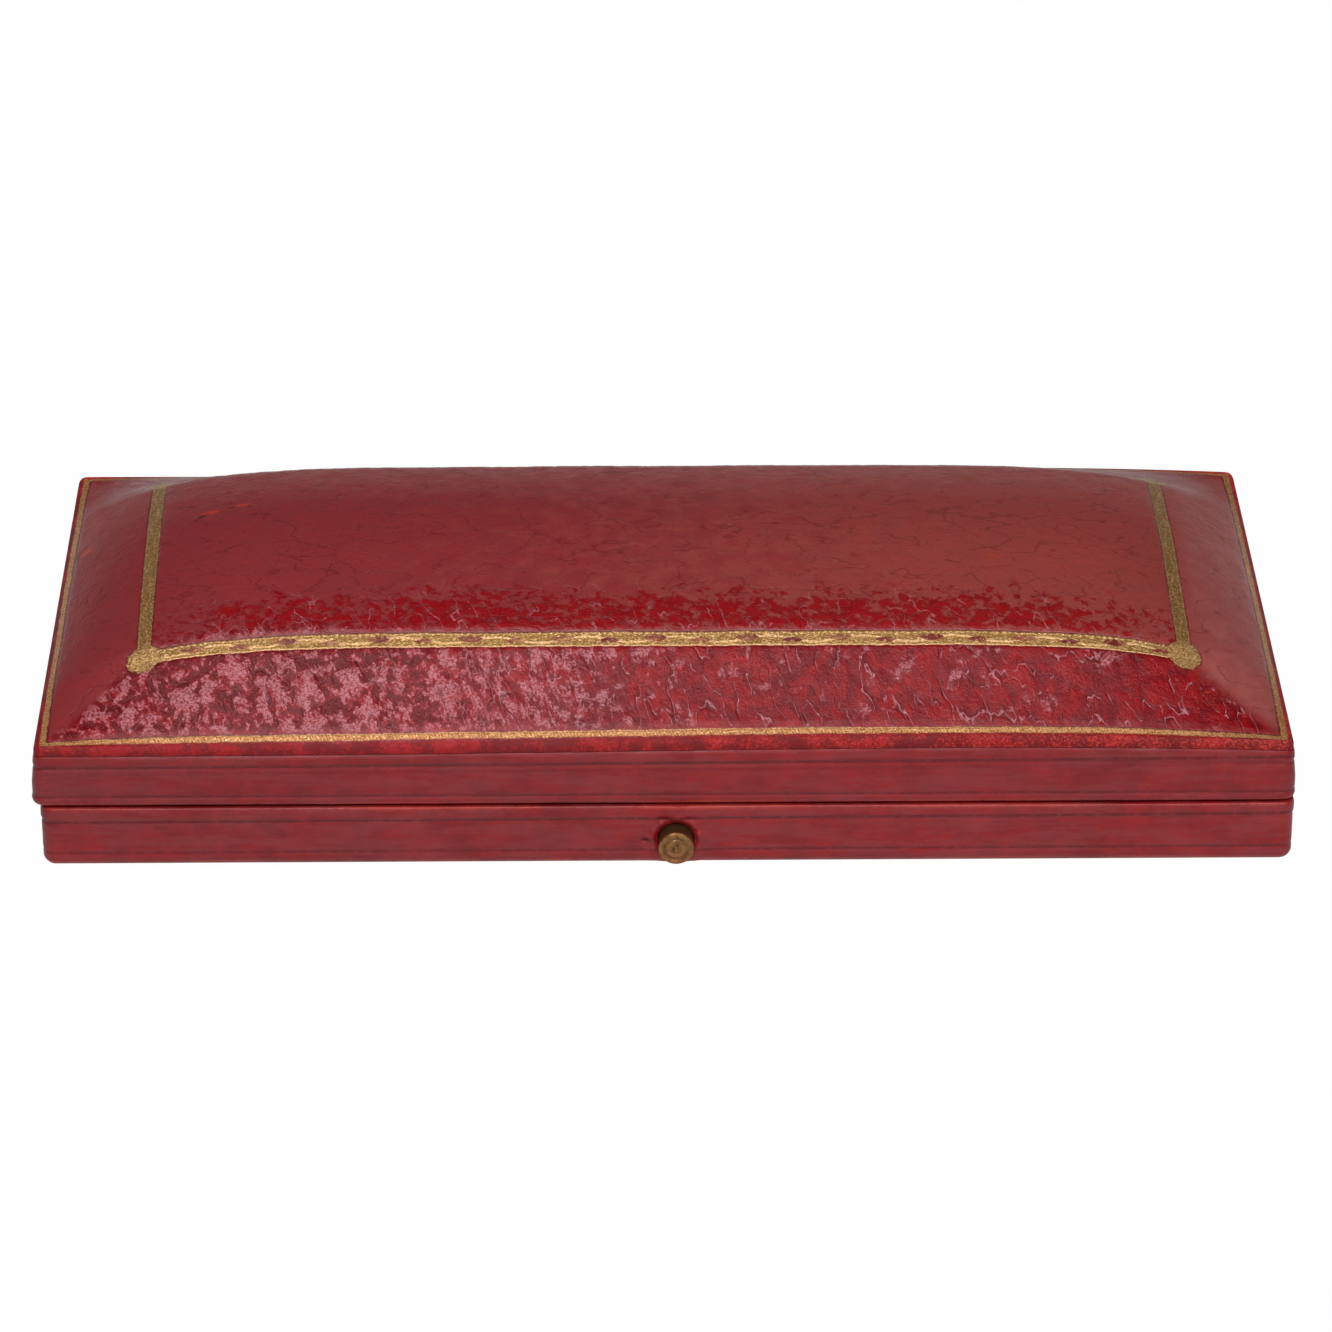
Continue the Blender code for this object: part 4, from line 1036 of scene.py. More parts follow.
    def bottom(self, palette: Palette) -> Material:
        """The matt leather under the base.

        Args:
            palette: keeps the material.

        Returns:
            The material.
        """
        material, graph, shader, vector = palette.start("matt_bottom_leather")
        grain = graph.use(palette.grain, Vector=vector, Pebble=self.bottom_pebble)
        drawn = graph.place(vector, turn=(0, 0, 0.4), scale=(0.3, 2.5, 1))
        scuffs = graph.ramp(graph.noise(drawn, 3 * MM, 4.0, 0.7), 0.58, 0.72)
        colour = graph.mix(scuffs * 0.35, self.ground(graph, grain["Mottle"], vector), self.dust_and_sheen)
        normal = graph.bump(grain["Height"], 0.10 * MM, 0.7)
        graph.fill(shader, Base_Color=colour, Roughness=0.6, Normal=normal)
        return material


@dataclass(frozen=True)
class BlindLine:
    """A blind line tooled along a wall: its height at the left end, its slant and its depth share."""

    z: float
    slant: float
    depth: float


@dataclass(frozen=True)
class BrassFinish:
    """Old brass: golden where it is rubbed, brown in its hollows."""

    rubbed: tuple = paint(156, 112, 68)
    brown: tuple = paint(84, 56, 34)
    copper: tuple = paint(168, 104, 70)
    tarnish_share: float = 0.55
    roughness: float = 0.38
    lathe_pitch: float = 0.16 * MM

    def material(self, palette: Palette, name: str, tarnish_share: float) -> Material:
        """Brass with a share of tarnish.

        Args:
            palette: keeps the material.
            name: its name.
            tarnish_share: 0 bright, 1 brown all over.

        Returns:
            The material.
        """
        material, graph, shader, vector = palette.start(name)
        patches = graph.noise(vector, 1.3 * MM, 4.0, 0.65)
        stain = graph.ramp(patches, 0.72 - 0.5 * tarnish_share, 0.95 - 0.5 * tarnish_share)
        warm = graph.ramp(graph.noise(vector, 0.6 * MM, 2.0), 0.5, 0.75)
        colour = graph.mix(warm * 0.5, self.rubbed, self.copper)
        colour = graph.over(colour, self.brown, stain, 0.85)
        rough = graph.between(stain, self.roughness - 0.08, self.roughness + 0.2)
        scratches = graph.noise(graph.place(vector, scale=(6, 1, 1)), 0.4 * MM, 2.0)
        normal = graph.bump(scratches + patches, 0.02 * MM, 0.4)
        graph.fill(shader, Base_Color=colour, Metallic=0.9, Roughness=rough, Normal=normal)
        return material

    def button(self, palette: Palette, centre: Sequence[float], radius: float) -> Material:
        """The turned button's brass, darker in its rings and round its shank.

        Args:
            palette: keeps the material.
            centre: a point on the button's axis.
            radius: the button's radius.

        Returns:
            The material.
        """
        material, graph, shader, vector = palette.start("turned_button_brass")
        x, y, z = graph.axes(graph.place(vector, location=[-value for value in centre]))
        away = graph.maths("SQRT", x * x + z * z)
        share = away * (1 / radius)
        groove = graph.near(share - 0.66, 0.04, 0.09)
        rim = graph.near(share - 0.24, 0.03, 0.10)
        shank = graph.ramp(y, 0.25 * MM, 0.6 * MM)
        patches = graph.noise(vector, 0.7 * MM, 4.0, 0.65)
        hollow = graph.most(graph.most(groove, rim) * 0.4, shank * 0.9)
        stain = graph.capped(graph.ramp(patches, 0.42, 0.70, 0.15, 0.8), hollow)
        # Painted glint: the face turns coppery towards its bottom.
        low = graph.ramp(z, 0.2 * MM, -1.6 * MM)
        colour = graph.mix(low * 0.6, self.rubbed, self.copper)
        colour = graph.over(colour, self.brown, stain, 0.85)
        rings = graph.maths("SINE", away * (math.tau / self.lathe_pitch))
        normal = graph.bump(rings * 0.4 + patches, 0.03 * MM, 0.5)
        rough = graph.between(stain, 0.34, 0.55)
        graph.fill(shader, Base_Color=colour, Metallic=0.85, Roughness=rough, Normal=normal)
        return material


class Cloth(Enum):
    """The fabrics inside the case."""

    VELVET = "ivory_velvet_pile"
    SATIN = "cream_satin_weave"


@dataclass(frozen=True)
class PlainFinishes:
    """The finishes out of sight: wood, card, steel and the two fabrics."""

    wood_light: tuple = paint(206, 170, 122)
    wood_dark: tuple = paint(160, 116, 70)
    card_colour: tuple = paint(150, 134, 108)
    steel_colour: tuple = paint(120, 118, 124)
    steel_blued: tuple = paint(70, 74, 96)
    velvet_colour: tuple = paint(216, 203, 172)
    velvet_shade: tuple = paint(190, 174, 140)
    # Painted shade low in the velvet, and the heights over which it fades.
    velvet_low_shade: tuple = paint(70, 54, 34)
    low_shade_levels: tuple = (0.75 * MM, 1.45 * MM)
    satin_colour: tuple = paint(232, 220, 192)
    satin_shade: tuple = paint(198, 180, 142)

    def wood(self, palette: Palette) -> Material:
        """Plain sanded limewood, its grain along X.

        Args:
            palette: keeps the material.

        Returns:
            The material.
        """
        material, graph, shader, vector = palette.start("sanded_limewood")
        stretched = graph.place(vector, scale=(0.08, 1, 1))
        grain = graph.noise(stretched, 0.7 * MM, 4.0, 0.6)
        rings = graph.noise(stretched, 3.5 * MM, 2.0)
        share = graph.capped(grain * 0.6, rings * 0.5)
        colour = graph.mix(graph.ramp(share, 0.35, 0.75), self.wood_light, self.wood_dark)
        graph.fill(shader, Base_Color=colour, Roughness=0.62, Normal=graph.bump(grain, 0.04 * MM, 0.4))
        return material

    def card(self, palette: Palette) -> Material:
        """Grey-brown pasteboard with fibres.

        Args:
            palette: keeps the material.

        Returns:
            The material.
        """
        material, graph, shader, vector = palette.start("pasteboard")
        fibres = graph.noise(vector, 0.3 * MM, 5.0, 0.7)
        colour = graph.mix(graph.ramp(fibres, 0.3, 0.7), self.card_colour, self.wood_dark)
        graph.fill(shader, Base_Color=colour, Roughness=0.85)
        return material

    def steel(self, palette: Palette) -> Material:
        """Blued spring steel.

        Args:
            palette: keeps the material.

        Returns:
            The material.
        """
        material, graph, shader, vector = palette.start("blued_spring_steel")
        heat = graph.noise(vector, 2 * MM, 3.0)
        colour = graph.mix(graph.ramp(heat, 0.35, 0.65), self.steel_colour, self.steel_blued)
        graph.fill(shader, Base_Color=colour, Metallic=1.0, Roughness=0.32)
        return material

    def cloth(self, palette: Palette, kind: Cloth) -> Material:
        """Velvet or satin.

        Args:
            palette: keeps the material.
            kind: which fabric.

        Returns:
            The material.
        """
        if kind.value in palette.made:
            return palette.made[kind.value]
        material, graph, shader, vector = palette.start(kind.value)
        if kind is Cloth.VELVET:
            pile = graph.noise(vector, 0.22 * MM, 3.0, 0.7)
            brushed = graph.noise(graph.place(vector, turn=(0, 0, 0.6), scale=(0.5, 1.3, 1)), 7 * MM, 3.0)
            share = graph.capped(pile * 0.45, graph.ramp(brushed, 0.25, 0.75) * 0.42)
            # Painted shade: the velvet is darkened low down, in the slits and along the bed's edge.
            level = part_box("velvet_pad")[0].z
            start, end = (level + rise for rise in self.low_shade_levels)
            low_shade = graph.ramp(graph.axes(vector)[2], start, end, 0.88, 0.0)
            lit = graph.mix(share, self.velvet_shade, self.velvet_colour)
            colour = graph.mix(low_shade, lit, self.velvet_low_shade)
            graph.fill(shader, Base_Color=colour, Roughness=0.9, Normal=graph.bump(pile, 0.08 * MM, 0.6))
            graph.fill(shader, Sheen_Weight=0.8, Sheen_Roughness=0.35)
            return material
        warp = graph.noise(graph.place(vector, scale=(1, 0.06, 1)), 0.16 * MM, 2.0)
        folds = graph.noise(vector, 6 * MM, 2.0)
        share = graph.capped(warp * 0.4, folds * 0.5)
        colour = graph.mix(share, self.satin_shade, self.satin_colour)
        normal = graph.bump(warp, 0.03 * MM, 0.5)
        graph.fill(shader, Base_Color=colour, Roughness=0.34, Sheen_Weight=0.25, Normal=normal)
        return material


def mapped_grid(columns: int, rows: int, place: Callable[[Array, Array], Array]) -> Mesh:
    """A grid whose vertices are moved to where a function puts them; coinciding ones are merged.

    Args:
        columns: quads along the first direction.
        rows: quads along the second.
        place: takes column and row numbers and returns places.

    Returns:
        The mesh in the making.
    """
    made = bmesh.new()
    bmesh.ops.create_grid(made, x_segments=columns, y_segments=rows, size=1)
    flat = np.array([vert.co[:2] for vert in made.verts])
    column = np.rint((flat[:, 0] + 1) / 2 * columns).astype(int)
    row = np.rint((flat[:, 1] + 1) / 2 * rows).astype(int)
    for vert, point in zip(made.verts, place(column, row)):
        vert.co = point
    bmesh.ops.remove_doubles(made, verts=made.verts[:], dist=WELD)
    return made


def finished(name: str, made: Mesh, material: Material, smooth_degrees: float = 40.0) -> Piece:
    """Turns a bmesh into an object in its place, with faces outward and one material.

    Args:
        name: the piece's name.
        made: its mesh, which is freed.
        material: its finish.
        smooth_degrees: edges sharper than this stay sharp.

    Returns:
        The object.
    """
    bmesh.ops.recalc_face_normals(made, faces=made.faces[:])
    mesh = bpy.data.meshes.new(name)
    made.to_mesh(mesh)
    made.free()
    mesh.shade_smooth()
    mesh.set_sharp_from_angle(angle=math.radians(smooth_degrees))
    mesh.materials.append(material)
    piece = bpy.data.objects.new(name, mesh)
    bpy.context.scene.collection.objects.link(piece)
    return piece


def coordinates(mesh: bpy.types.Mesh) -> tuple[Array, Array]:
    """A mesh's vertex places and normals.

    Args:
        mesh: the mesh to read.

    Returns:
        Two tables, one row of three per vertex.
    """
    count = len(mesh.vertices)
    places = np.zeros(count * 3)
    normals = np.zeros(count * 3)
    mesh.vertices.foreach_get("co", places)
    mesh.vertex_normals.foreach_get("vector", normals)
    return places.reshape(-1, 3), normals.reshape(-1, 3)


def moved(mesh: bpy.types.Mesh, places: Array) -> None:
    """Gives a mesh's vertices new places."""
    mesh.vertices.foreach_set("co", places.astype(np.float32).ravel())
    mesh.update()


def carved(piece: Piece, cutters: Sequence[Piece]) -> None:
    """Cuts the cutters out of a piece and removes them.

    Args:
        piece: what is cut.
        cutters: the solids that are cut out of it.
    """
    for cutter in cutters:
        modifier = piece.modifiers.new(cutter.name, "BOOLEAN")
        modifier.operation = "DIFFERENCE"
        modifier.solver = "EXACT"
        modifier.object = cutter
    bpy.context.view_layer.update()
    ready = piece.evaluated_get(bpy.context.evaluated_depsgraph_get())
    mesh = bpy.data.meshes.new_from_object(ready)
    piece.modifiers.clear()
    piece.data = mesh
    for cutter in cutters:
        bpy.data.objects.remove(cutter)


def block(name: str, low: Sequence[float], high: Sequence[float]) -> Piece:
    """A cutter with square corners.

    Args:
        name: the cutter's name.
        low, high: its opposite corners.

    Returns:
        The cutter.
    """
    made = bmesh.new()
    bmesh.ops.create_cube(made, size=1)
    low, high = Vector(low), Vector(high)
    size = high - low
    middle = (low + high) / 2
    placed = Matrix.Translation(middle) @ Matrix.Diagonal((*size, 1))
    bmesh.ops.transform(made, matrix=placed, verts=made.verts[:])
    return loose(name, made)


def bar(name: str, radius: float, start: Sequence[float], end: Sequence[float], sides: int = 40) -> Piece:
    """A round cutter between two points.

    Args:
        name: the cutter's name.
        radius: its radius.
        start, end: the middles of its ends.
        sides: how many sides its round has.

    Returns:
        The cutter.
    """
    made = bmesh.new()
    start, end = Vector(start), Vector(end)
    run = end - start
    bmesh.ops.create_cone(
        made, cap_ends=True, segments=sides, radius1=radius, radius2=radius, depth=run.length
    )
    turn = run.to_track_quat("Z", "Y").to_matrix().to_4x4()
    bmesh.ops.transform(made, matrix=Matrix.Translation((start + end) / 2) @ turn, verts=made.verts[:])
    return loose(name, made)


def loose(name: str, made: Mesh) -> Piece:
    """A mesh as an object with no finish, for cutting.

    Args:
        name: the object's name.
        made: its mesh, which is freed.

    Returns:
        The object.
    """
    mesh = bpy.data.meshes.new(name)
    made.to_mesh(mesh)
    made.free()
    piece = bpy.data.objects.new(name, mesh)
    bpy.context.scene.collection.objects.link(piece)
    return piece


def drawn_in(x: Array, y: Array, rect: Rect, radius: float) -> tuple[Array, Array]:
    """Draws the points of a square corner in, so that the outline follows the corner's arc.

    Args:
        x, y: the points in plan.
        rect: the outline with square corners.
        radius: the radius of its corners.

    Returns:
        The points' new x and y.
    """
    middle_x, middle_y = rect.middle
    side_x = np.where(x > middle_x, 1, -1)
    side_y = np.where(y > middle_y, 1, -1)
    past_x = np.abs(x - middle_x) - rect.wide / 2 + radius
    past_y = np.abs(y - middle_y) - rect.deep / 2 + radius
    in_corner = (past_x > 0) & (past_y > 0)
    reach = np.maximum(past_x, past_y)
    drawn = np.where(in_corner, 1 - reach / np.maximum(np.hypot(past_x, past_y), 1e-12), 0)
    return x - side_x * past_x * drawn, y - side_y * past_y * drawn


def ringed_grid(
    rect: Rect,
    insets: Array,
    radii: Array,
    quads: tuple[int, int],
    level: Callable[[Array, Array, Array], Array],
) -> Mesh:
    """A face of quads with rings round it, each a rounded rectangle at its own inset.

    Args:
        rect: the outline.
        insets: how far in each ring lies, the outermost first; the last is the face's edge.
        radii: the corner radius of each ring.
        quads: the face's quads along X and along Y.
        level: takes x, y and ring numbers, and returns heights.

    Returns:
        The mesh in the making.
    """
    depth = len(insets) - 1
    columns, rows = quads[0] + 2 * depth, quads[1] + 2 * depth

    def place(column: Array, row: Array) -> Array:
        """The places of some points of the grid.

        Args:
            column, row: their columns and rows.

        Returns:
            One row of three per point.
        """
        ring = np.minimum(np.minimum(column, columns - column), np.minimum(row, rows - row))
        ring = np.minimum(ring, depth)
        inset = insets[ring]
        share_x = (np.clip(column, depth, columns - depth) - depth) / quads[0]
        share_y = (np.clip(row, depth, rows - depth) - depth) / quads[1]
        x = rect.x0 + inset + share_x * (rect.wide - 2 * inset)
        y = rect.y0 + inset + share_y * (rect.deep - 2 * inset)
        for number, radius in enumerate(radii):
            here = ring == number
            x[here], y[here] = drawn_in(x[here], y[here], rect.grown(-insets[number]), radius)
        return np.stack([x, y, level(x, y, ring)], axis=1)

    return mapped_grid(columns, rows, place)


@dataclass
class LidTop:
    """The grained, domed and gilt leather over the lid."""

    KINDS: ClassVar[tuple] = ("bevel", "lump", "strip", "panel", "left", "rim")

    palette: Palette
    form: LidForm = field(default_factory=LidForm)
    tooling: Tooling = field(default_factory=Tooling)
    finish: LeatherFinish = field(default_factory=LeatherFinish)
    columns: int = 372
    rows: int = 180
    edge_steps: int = 5
    under_columns: int = 60
    under_rows: int = 30
    lump_height: float = 0.13 * MM
    pebble_height: float = 0.035 * MM
    fold_depth: float = 0.035 * MM
    press_depth: float = 0.05 * MM
    swell_height: float = 0.05 * MM
    least_radius: float = 0.2 * MM
    lean_degrees: float = 19.0
    lump_size: tuple = (2.5, 4.6, 4.6)
    pebble_size: float = 0.9
    fold_size: float = 4.4

    def skirt(self) -> list[tuple[float, float, float]]:
        """The rings outside the dome, from the inner edge of the seam up: inset, height and arch.

        Returns:
            One row for each ring.
        """
        form = self.form
        slope = math.atan(form.bevel_slope)
        full_turn = math.pi / 2 - slope
        below = form.edge_radius * math.tan(full_turn / 2)
        corner = 0.08 * MM
        rings = [
            (form.leather, form.seam_z, form.seam_arch),
            (corner, form.seam_z, form.seam_arch),
            (corner * 0.3, form.seam_z + corner * 0.3, form.seam_arch),
            (0.0, form.seam_z + corner, form.seam_arch),
        ]
        for step in range(self.edge_steps + 1):
            turn = full_turn * step / self.edge_steps
            inset = form.edge_radius * (1 - math.cos(turn))
            rings.append((inset, form.edge_z - below + form.edge_radius * math.sin(turn), form.edge_arch))
        return rings

    def outer(self) -> Mesh:
        """The dome with its skirt, open underneath.

        Returns:
            The mesh in the making.
        """
        insets, heights, arches = (np.array(values) for values in zip(*self.skirt()))
        form = self.form
        radii = np.maximum(form.corner_radius - insets, self.least_radius)

        def level(x: Array, y: Array, ring: Array) -> Array:
            """The height of the skin's points.

            Args:
                x, y: the places in plan.
                ring: the ring of each, up to the dome.

            Returns:
                One height each.
            """
            z = heights[ring] + arches[ring] * form.arch_share(x)
            return np.where(ring == len(heights) - 1, form.height(x, y), z)

        return ringed_grid(form.rect, insets, radii, (self.columns, self.rows), level)

    def relief(self, places: Array) -> tuple[Array, dict[str, Array]]:
        """How far the grain lifts each point of the top, and where its kinds lie.

        Args:
            places: the smooth surface.

        Returns:
            The lift, and shares from 0 to 1 by name for the finish.
        """
        mm = places / MM
        rect = self.form.rect
        tool = self.tooling
        noise = Lattice(5)
        edge_x = rect.wide / 2 / MM - np.abs(mm[:, 0] - rect.middle[0] / MM)
        edge_y = rect.deep / 2 / MM - np.abs(mm[:, 1])
        band_y = edge_y - np.where(mm[:, 1] < 0, tool.front_shift, 0)
        band = np.minimum(edge_x, band_y)
        wander = noise.layered(mm, 6.0)
        on_end = smoothstep(edge_y - edge_x + 1.4 * wander, -1.2, 1.8)
        on_bevel = 1 - smoothstep(band, tool.band_inset - 0.7, tool.band_inset + 0.9)
        at_front = 1 - smoothstep(mm[:, 1], -20, -6)
        left = 1 - smoothstep(mm[:, 0] + 6 * wander, -34, 12)
        warp = np.stack([noise.layered(mm + 40 * axis, 2.6) for axis in range(3)], axis=1)
        lean = math.radians(self.lean_degrees)
        leaned = mm.copy()
        leaned[:, 0] = mm[:, 0] * math.cos(lean) + mm[:, 1] * math.sin(lean)
        leaned[:, 1] = mm[:, 1] * math.cos(lean) - mm[:, 0] * math.sin(lean)
        nearest, second = Lattice(11).cells(leaned + 0.75 * warp, self.lump_size)
        parted = second - nearest
        lump = smoothstep(parted, 0.0, 0.42) - 0.35 * nearest**2
        nearest, second = Lattice(31).cells(mm + 0.2 * warp, self.pebble_size)
        pebble = smoothstep(second - nearest, 0.0, 0.4) - 0.4 * nearest
        nearest, second = Lattice(37).cells(mm + 0.9 * warp, self.fold_size)
        fold = 0.7 - smoothstep(second - nearest, 0.0, 0.16)
        strong = on_bevel * (1 - on_end) * (0.35 + 0.65 * at_front)
        panel = 1 - on_bevel
        strip = panel * (1 - smoothstep(mm[:, 1] + 1.5 * wander, -18.0, -9.5))
        ends_fade = smoothstep(edge_x, 10, 26)
        strip = strip * (0.35 + 0.65 * ends_fade)
        full = strong * (0.55 + 0.6 * left) + 0.3 * strip + 0.12 * panel + 0.12 * on_end * on_bevel
        lift = self.lump_height * lump * full
        lift += self.pebble_height * pebble * (0.6 * strong + 1.0 * strip + 0.5 * panel + 0.3 * on_end)
        lift -= self.fold_depth * fold * (0.8 * panel + 0.35 * on_end * on_bevel)
        lift += self.swell_height * noise.layered(mm + 17, 9.0, 2)
        fillet_edge = tool.fillet_inset + tool.fillet_half
        tooled = np.maximum(
            1 - smoothstep(np.abs(band - tool.band_inset), tool.band_half, tool.band_half + 0.5),
            1 - smoothstep(band, fillet_edge, fillet_edge + 0.5),
        )
        lift = lift * (1 - 0.75 * tooled) - self.press_depth * tooled
        grown_in = smoothstep(mm[:, 2], self.form.seam_z / MM + 0.3, self.form.edge_z / MM + 0.5)
        # A painted strip of glints just above the front band, towards the left, joins the bevel's mask, which
        # carries the painted sheen.
        gleam = 0.8 * bell(band_y - tool.band_inset - 1.45, 0.5) * at_front * bell(mm[:, 0] + 42, 11)
        kinds = {
            "bevel": np.clip(strong + gleam, 0, 1) * (1 - 0.6 * tooled),
            "lump": parted,
            "strip": strip * (1 - tooled),
            "panel": np.clip(panel + on_end * on_bevel, 0, 1),
            "left": left,
            "rim": 1 - smoothstep(np.minimum(edge_x, edge_y), 0.35, 0.75),
        }
        return lift * grown_in, kinds

    def build(self) -> Piece:
        """Builds the closed skin, lifts its grain and dresses it.

        Returns:
            The skin.
        """
        made = self.outer()
        rim = [edge for edge in made.edges if edge.is_boundary]
        form = self.form
        rect = form.rect.grown(-form.leather)
        radius = max(form.corner_radius - form.leather, self.least_radius)
        flat = bmesh.ops.create_grid(
            made, x_segments=self.under_columns, y_segments=self.under_rows, size=0.5
        )["verts"]
        at = np.array([vert.co[:2] for vert in flat]) + 0.5
        x = rect.x0 + at[:, 0] * rect.wide
        y = rect.y0 + at[:, 1] * rect.deep
        x, y = drawn_in(x, y, rect, radius)
        under_form = form.packed()
        for vert, point in zip(flat, np.stack([x, y, under_form.height(x, y) - form.skin_drop], axis=1)):
            vert.co = point
        kept = set(rim)
        under_rim = [edge for edge in made.edges if edge.is_boundary and edge not in kept]
        bmesh.ops.bridge_loops(made, edges=rim + under_rim)
        piece = finished("lid_top_skin", made, self.finish.lid_top(self.palette, self.tooling), 60)
        mesh = piece.data
        places, normals = coordinates(mesh)
        outer = normals[:, 2] > -0.3
        lift, kinds = self.relief(places)
        x, y, z = places.T
        under = z < (form.height(x, y) + under_form.height(x, y) - form.skin_drop) / 2
        on_top = (outer & ~(under & (normals[:, 2] < 0.1))).astype(float)
        moved(mesh, places + normals * (lift * on_top)[:, None])
        for name, values in kinds.items():
            attribute = mesh.attributes.new(name, "FLOAT", "POINT")
            attribute.data.foreach_set("value", values.astype(np.float32))
        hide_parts("lid_top_leather")
        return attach(piece, "lid")


class Walk:
    """Stations round a rounded rectangle, the same for each of its outlines, so that levels join in quads."""

    def __init__(self, front: Array, side: Array, back: Array, corner_steps: int) -> None:
        """Takes the stations.

        Args:
            front: rising shares from 0 to 1 along the front.
            side: shares along each end.
            back: shares along the back.
            corner_steps: steps round each corner.
        """
        self.front = front
        self.side = side
        self.back = back
        self.arc = np.linspace(0, math.pi / 2, corner_steps + 1)[1:-1]

    def outline(self, rect: Rect, radius: float) -> tuple[Array, Array]:
        """The stations of one outline, from the front left, and their outward directions.

        Args:
            rect: the outline with square corners.
            radius: the radius of its corners.

        Returns:
            Two tables, one row of two per station.
        """
        x0, x1, y0, y1 = rect.x0 + radius, rect.x1 - radius, rect.y0 + radius, rect.y1 - radius
        runs = (
            ((x0, rect.y0), (x1, rect.y0), self.front, (0, -1), (x1, y0), -math.pi / 2),
            ((rect.x1, y0), (rect.x1, y1), self.side, (1, 0), (x1, y1), 0),
            ((x1, rect.y1), (x0, rect.y1), self.back, (0, 1), (x0, y1), math.pi / 2),
            ((rect.x0, y1), (rect.x0, y0), self.side, (-1, 0), (x0, y0), math.pi),
        )
        places, outward = [], []
        for start, end, shares, away, centre, turn in runs:
            start, end = np.array(start), np.array(end)
            places.append(start + shares[:, None] * (end - start))
            outward.append(np.tile(np.array(away, float), (len(shares), 1)))
            round_ = np.stack([np.cos(self.arc + turn), np.sin(self.arc + turn)], axis=1)
            places.append(np.array(centre) + radius * round_)
            outward.append(round_)
        return np.concatenate(places), np.concatenate(outward)


class Level(NamedTuple):
    """One level of a leather wall: its outline, height and arch, and how far it stands out and swells."""

    rect: Rect
    radius: float
    z: float
    arch: float = 0.0
    out: float = 0.0
    swell: float = 0.0


def ring_mesh(walk: Walk, levels: Sequence[Level], form: LidForm) -> Mesh:
    """A closed ring through its levels.

    Args:
        walk: the stations round it.
        levels: its section in order; the last joins the first.
        form: gives the arch of a level.

    Returns:
        The mesh in the making.
    """
    stack = []
    for level in levels:
        places, outward = walk.outline(level.rect, level.radius)
        swelling = level.swell * (1 - np.clip(outward[:, 1:], 0, 1))
        places = places + outward * (level.out + swelling)
        z = level.z + level.arch * form.arch_share(places[:, 0])
        stack.append(np.column_stack([places, z]))
    table = np.stack(stack)
    table = np.concatenate([table, table[:1]])
    table = np.concatenate([table, table[:, :1]], axis=1)
    return mapped_grid(table.shape[1] - 1, table.shape[0] - 1, lambda column, row: table[row, column])


class Bead(NamedTuple):
    """A ridge or a groove along a wall, in millimetres: its level, half width, rise and section."""

    z: float
    half: float
    rise: float
    rounded: bool = False

    def at(self, z: float) -> float:
        """How far it stands out at a level."""
        share = ((z - self.z) / self.half) ** 2
        return self.rise * (math.sqrt(max(0.0, 1 - share)) if self.rounded else math.exp(-share))


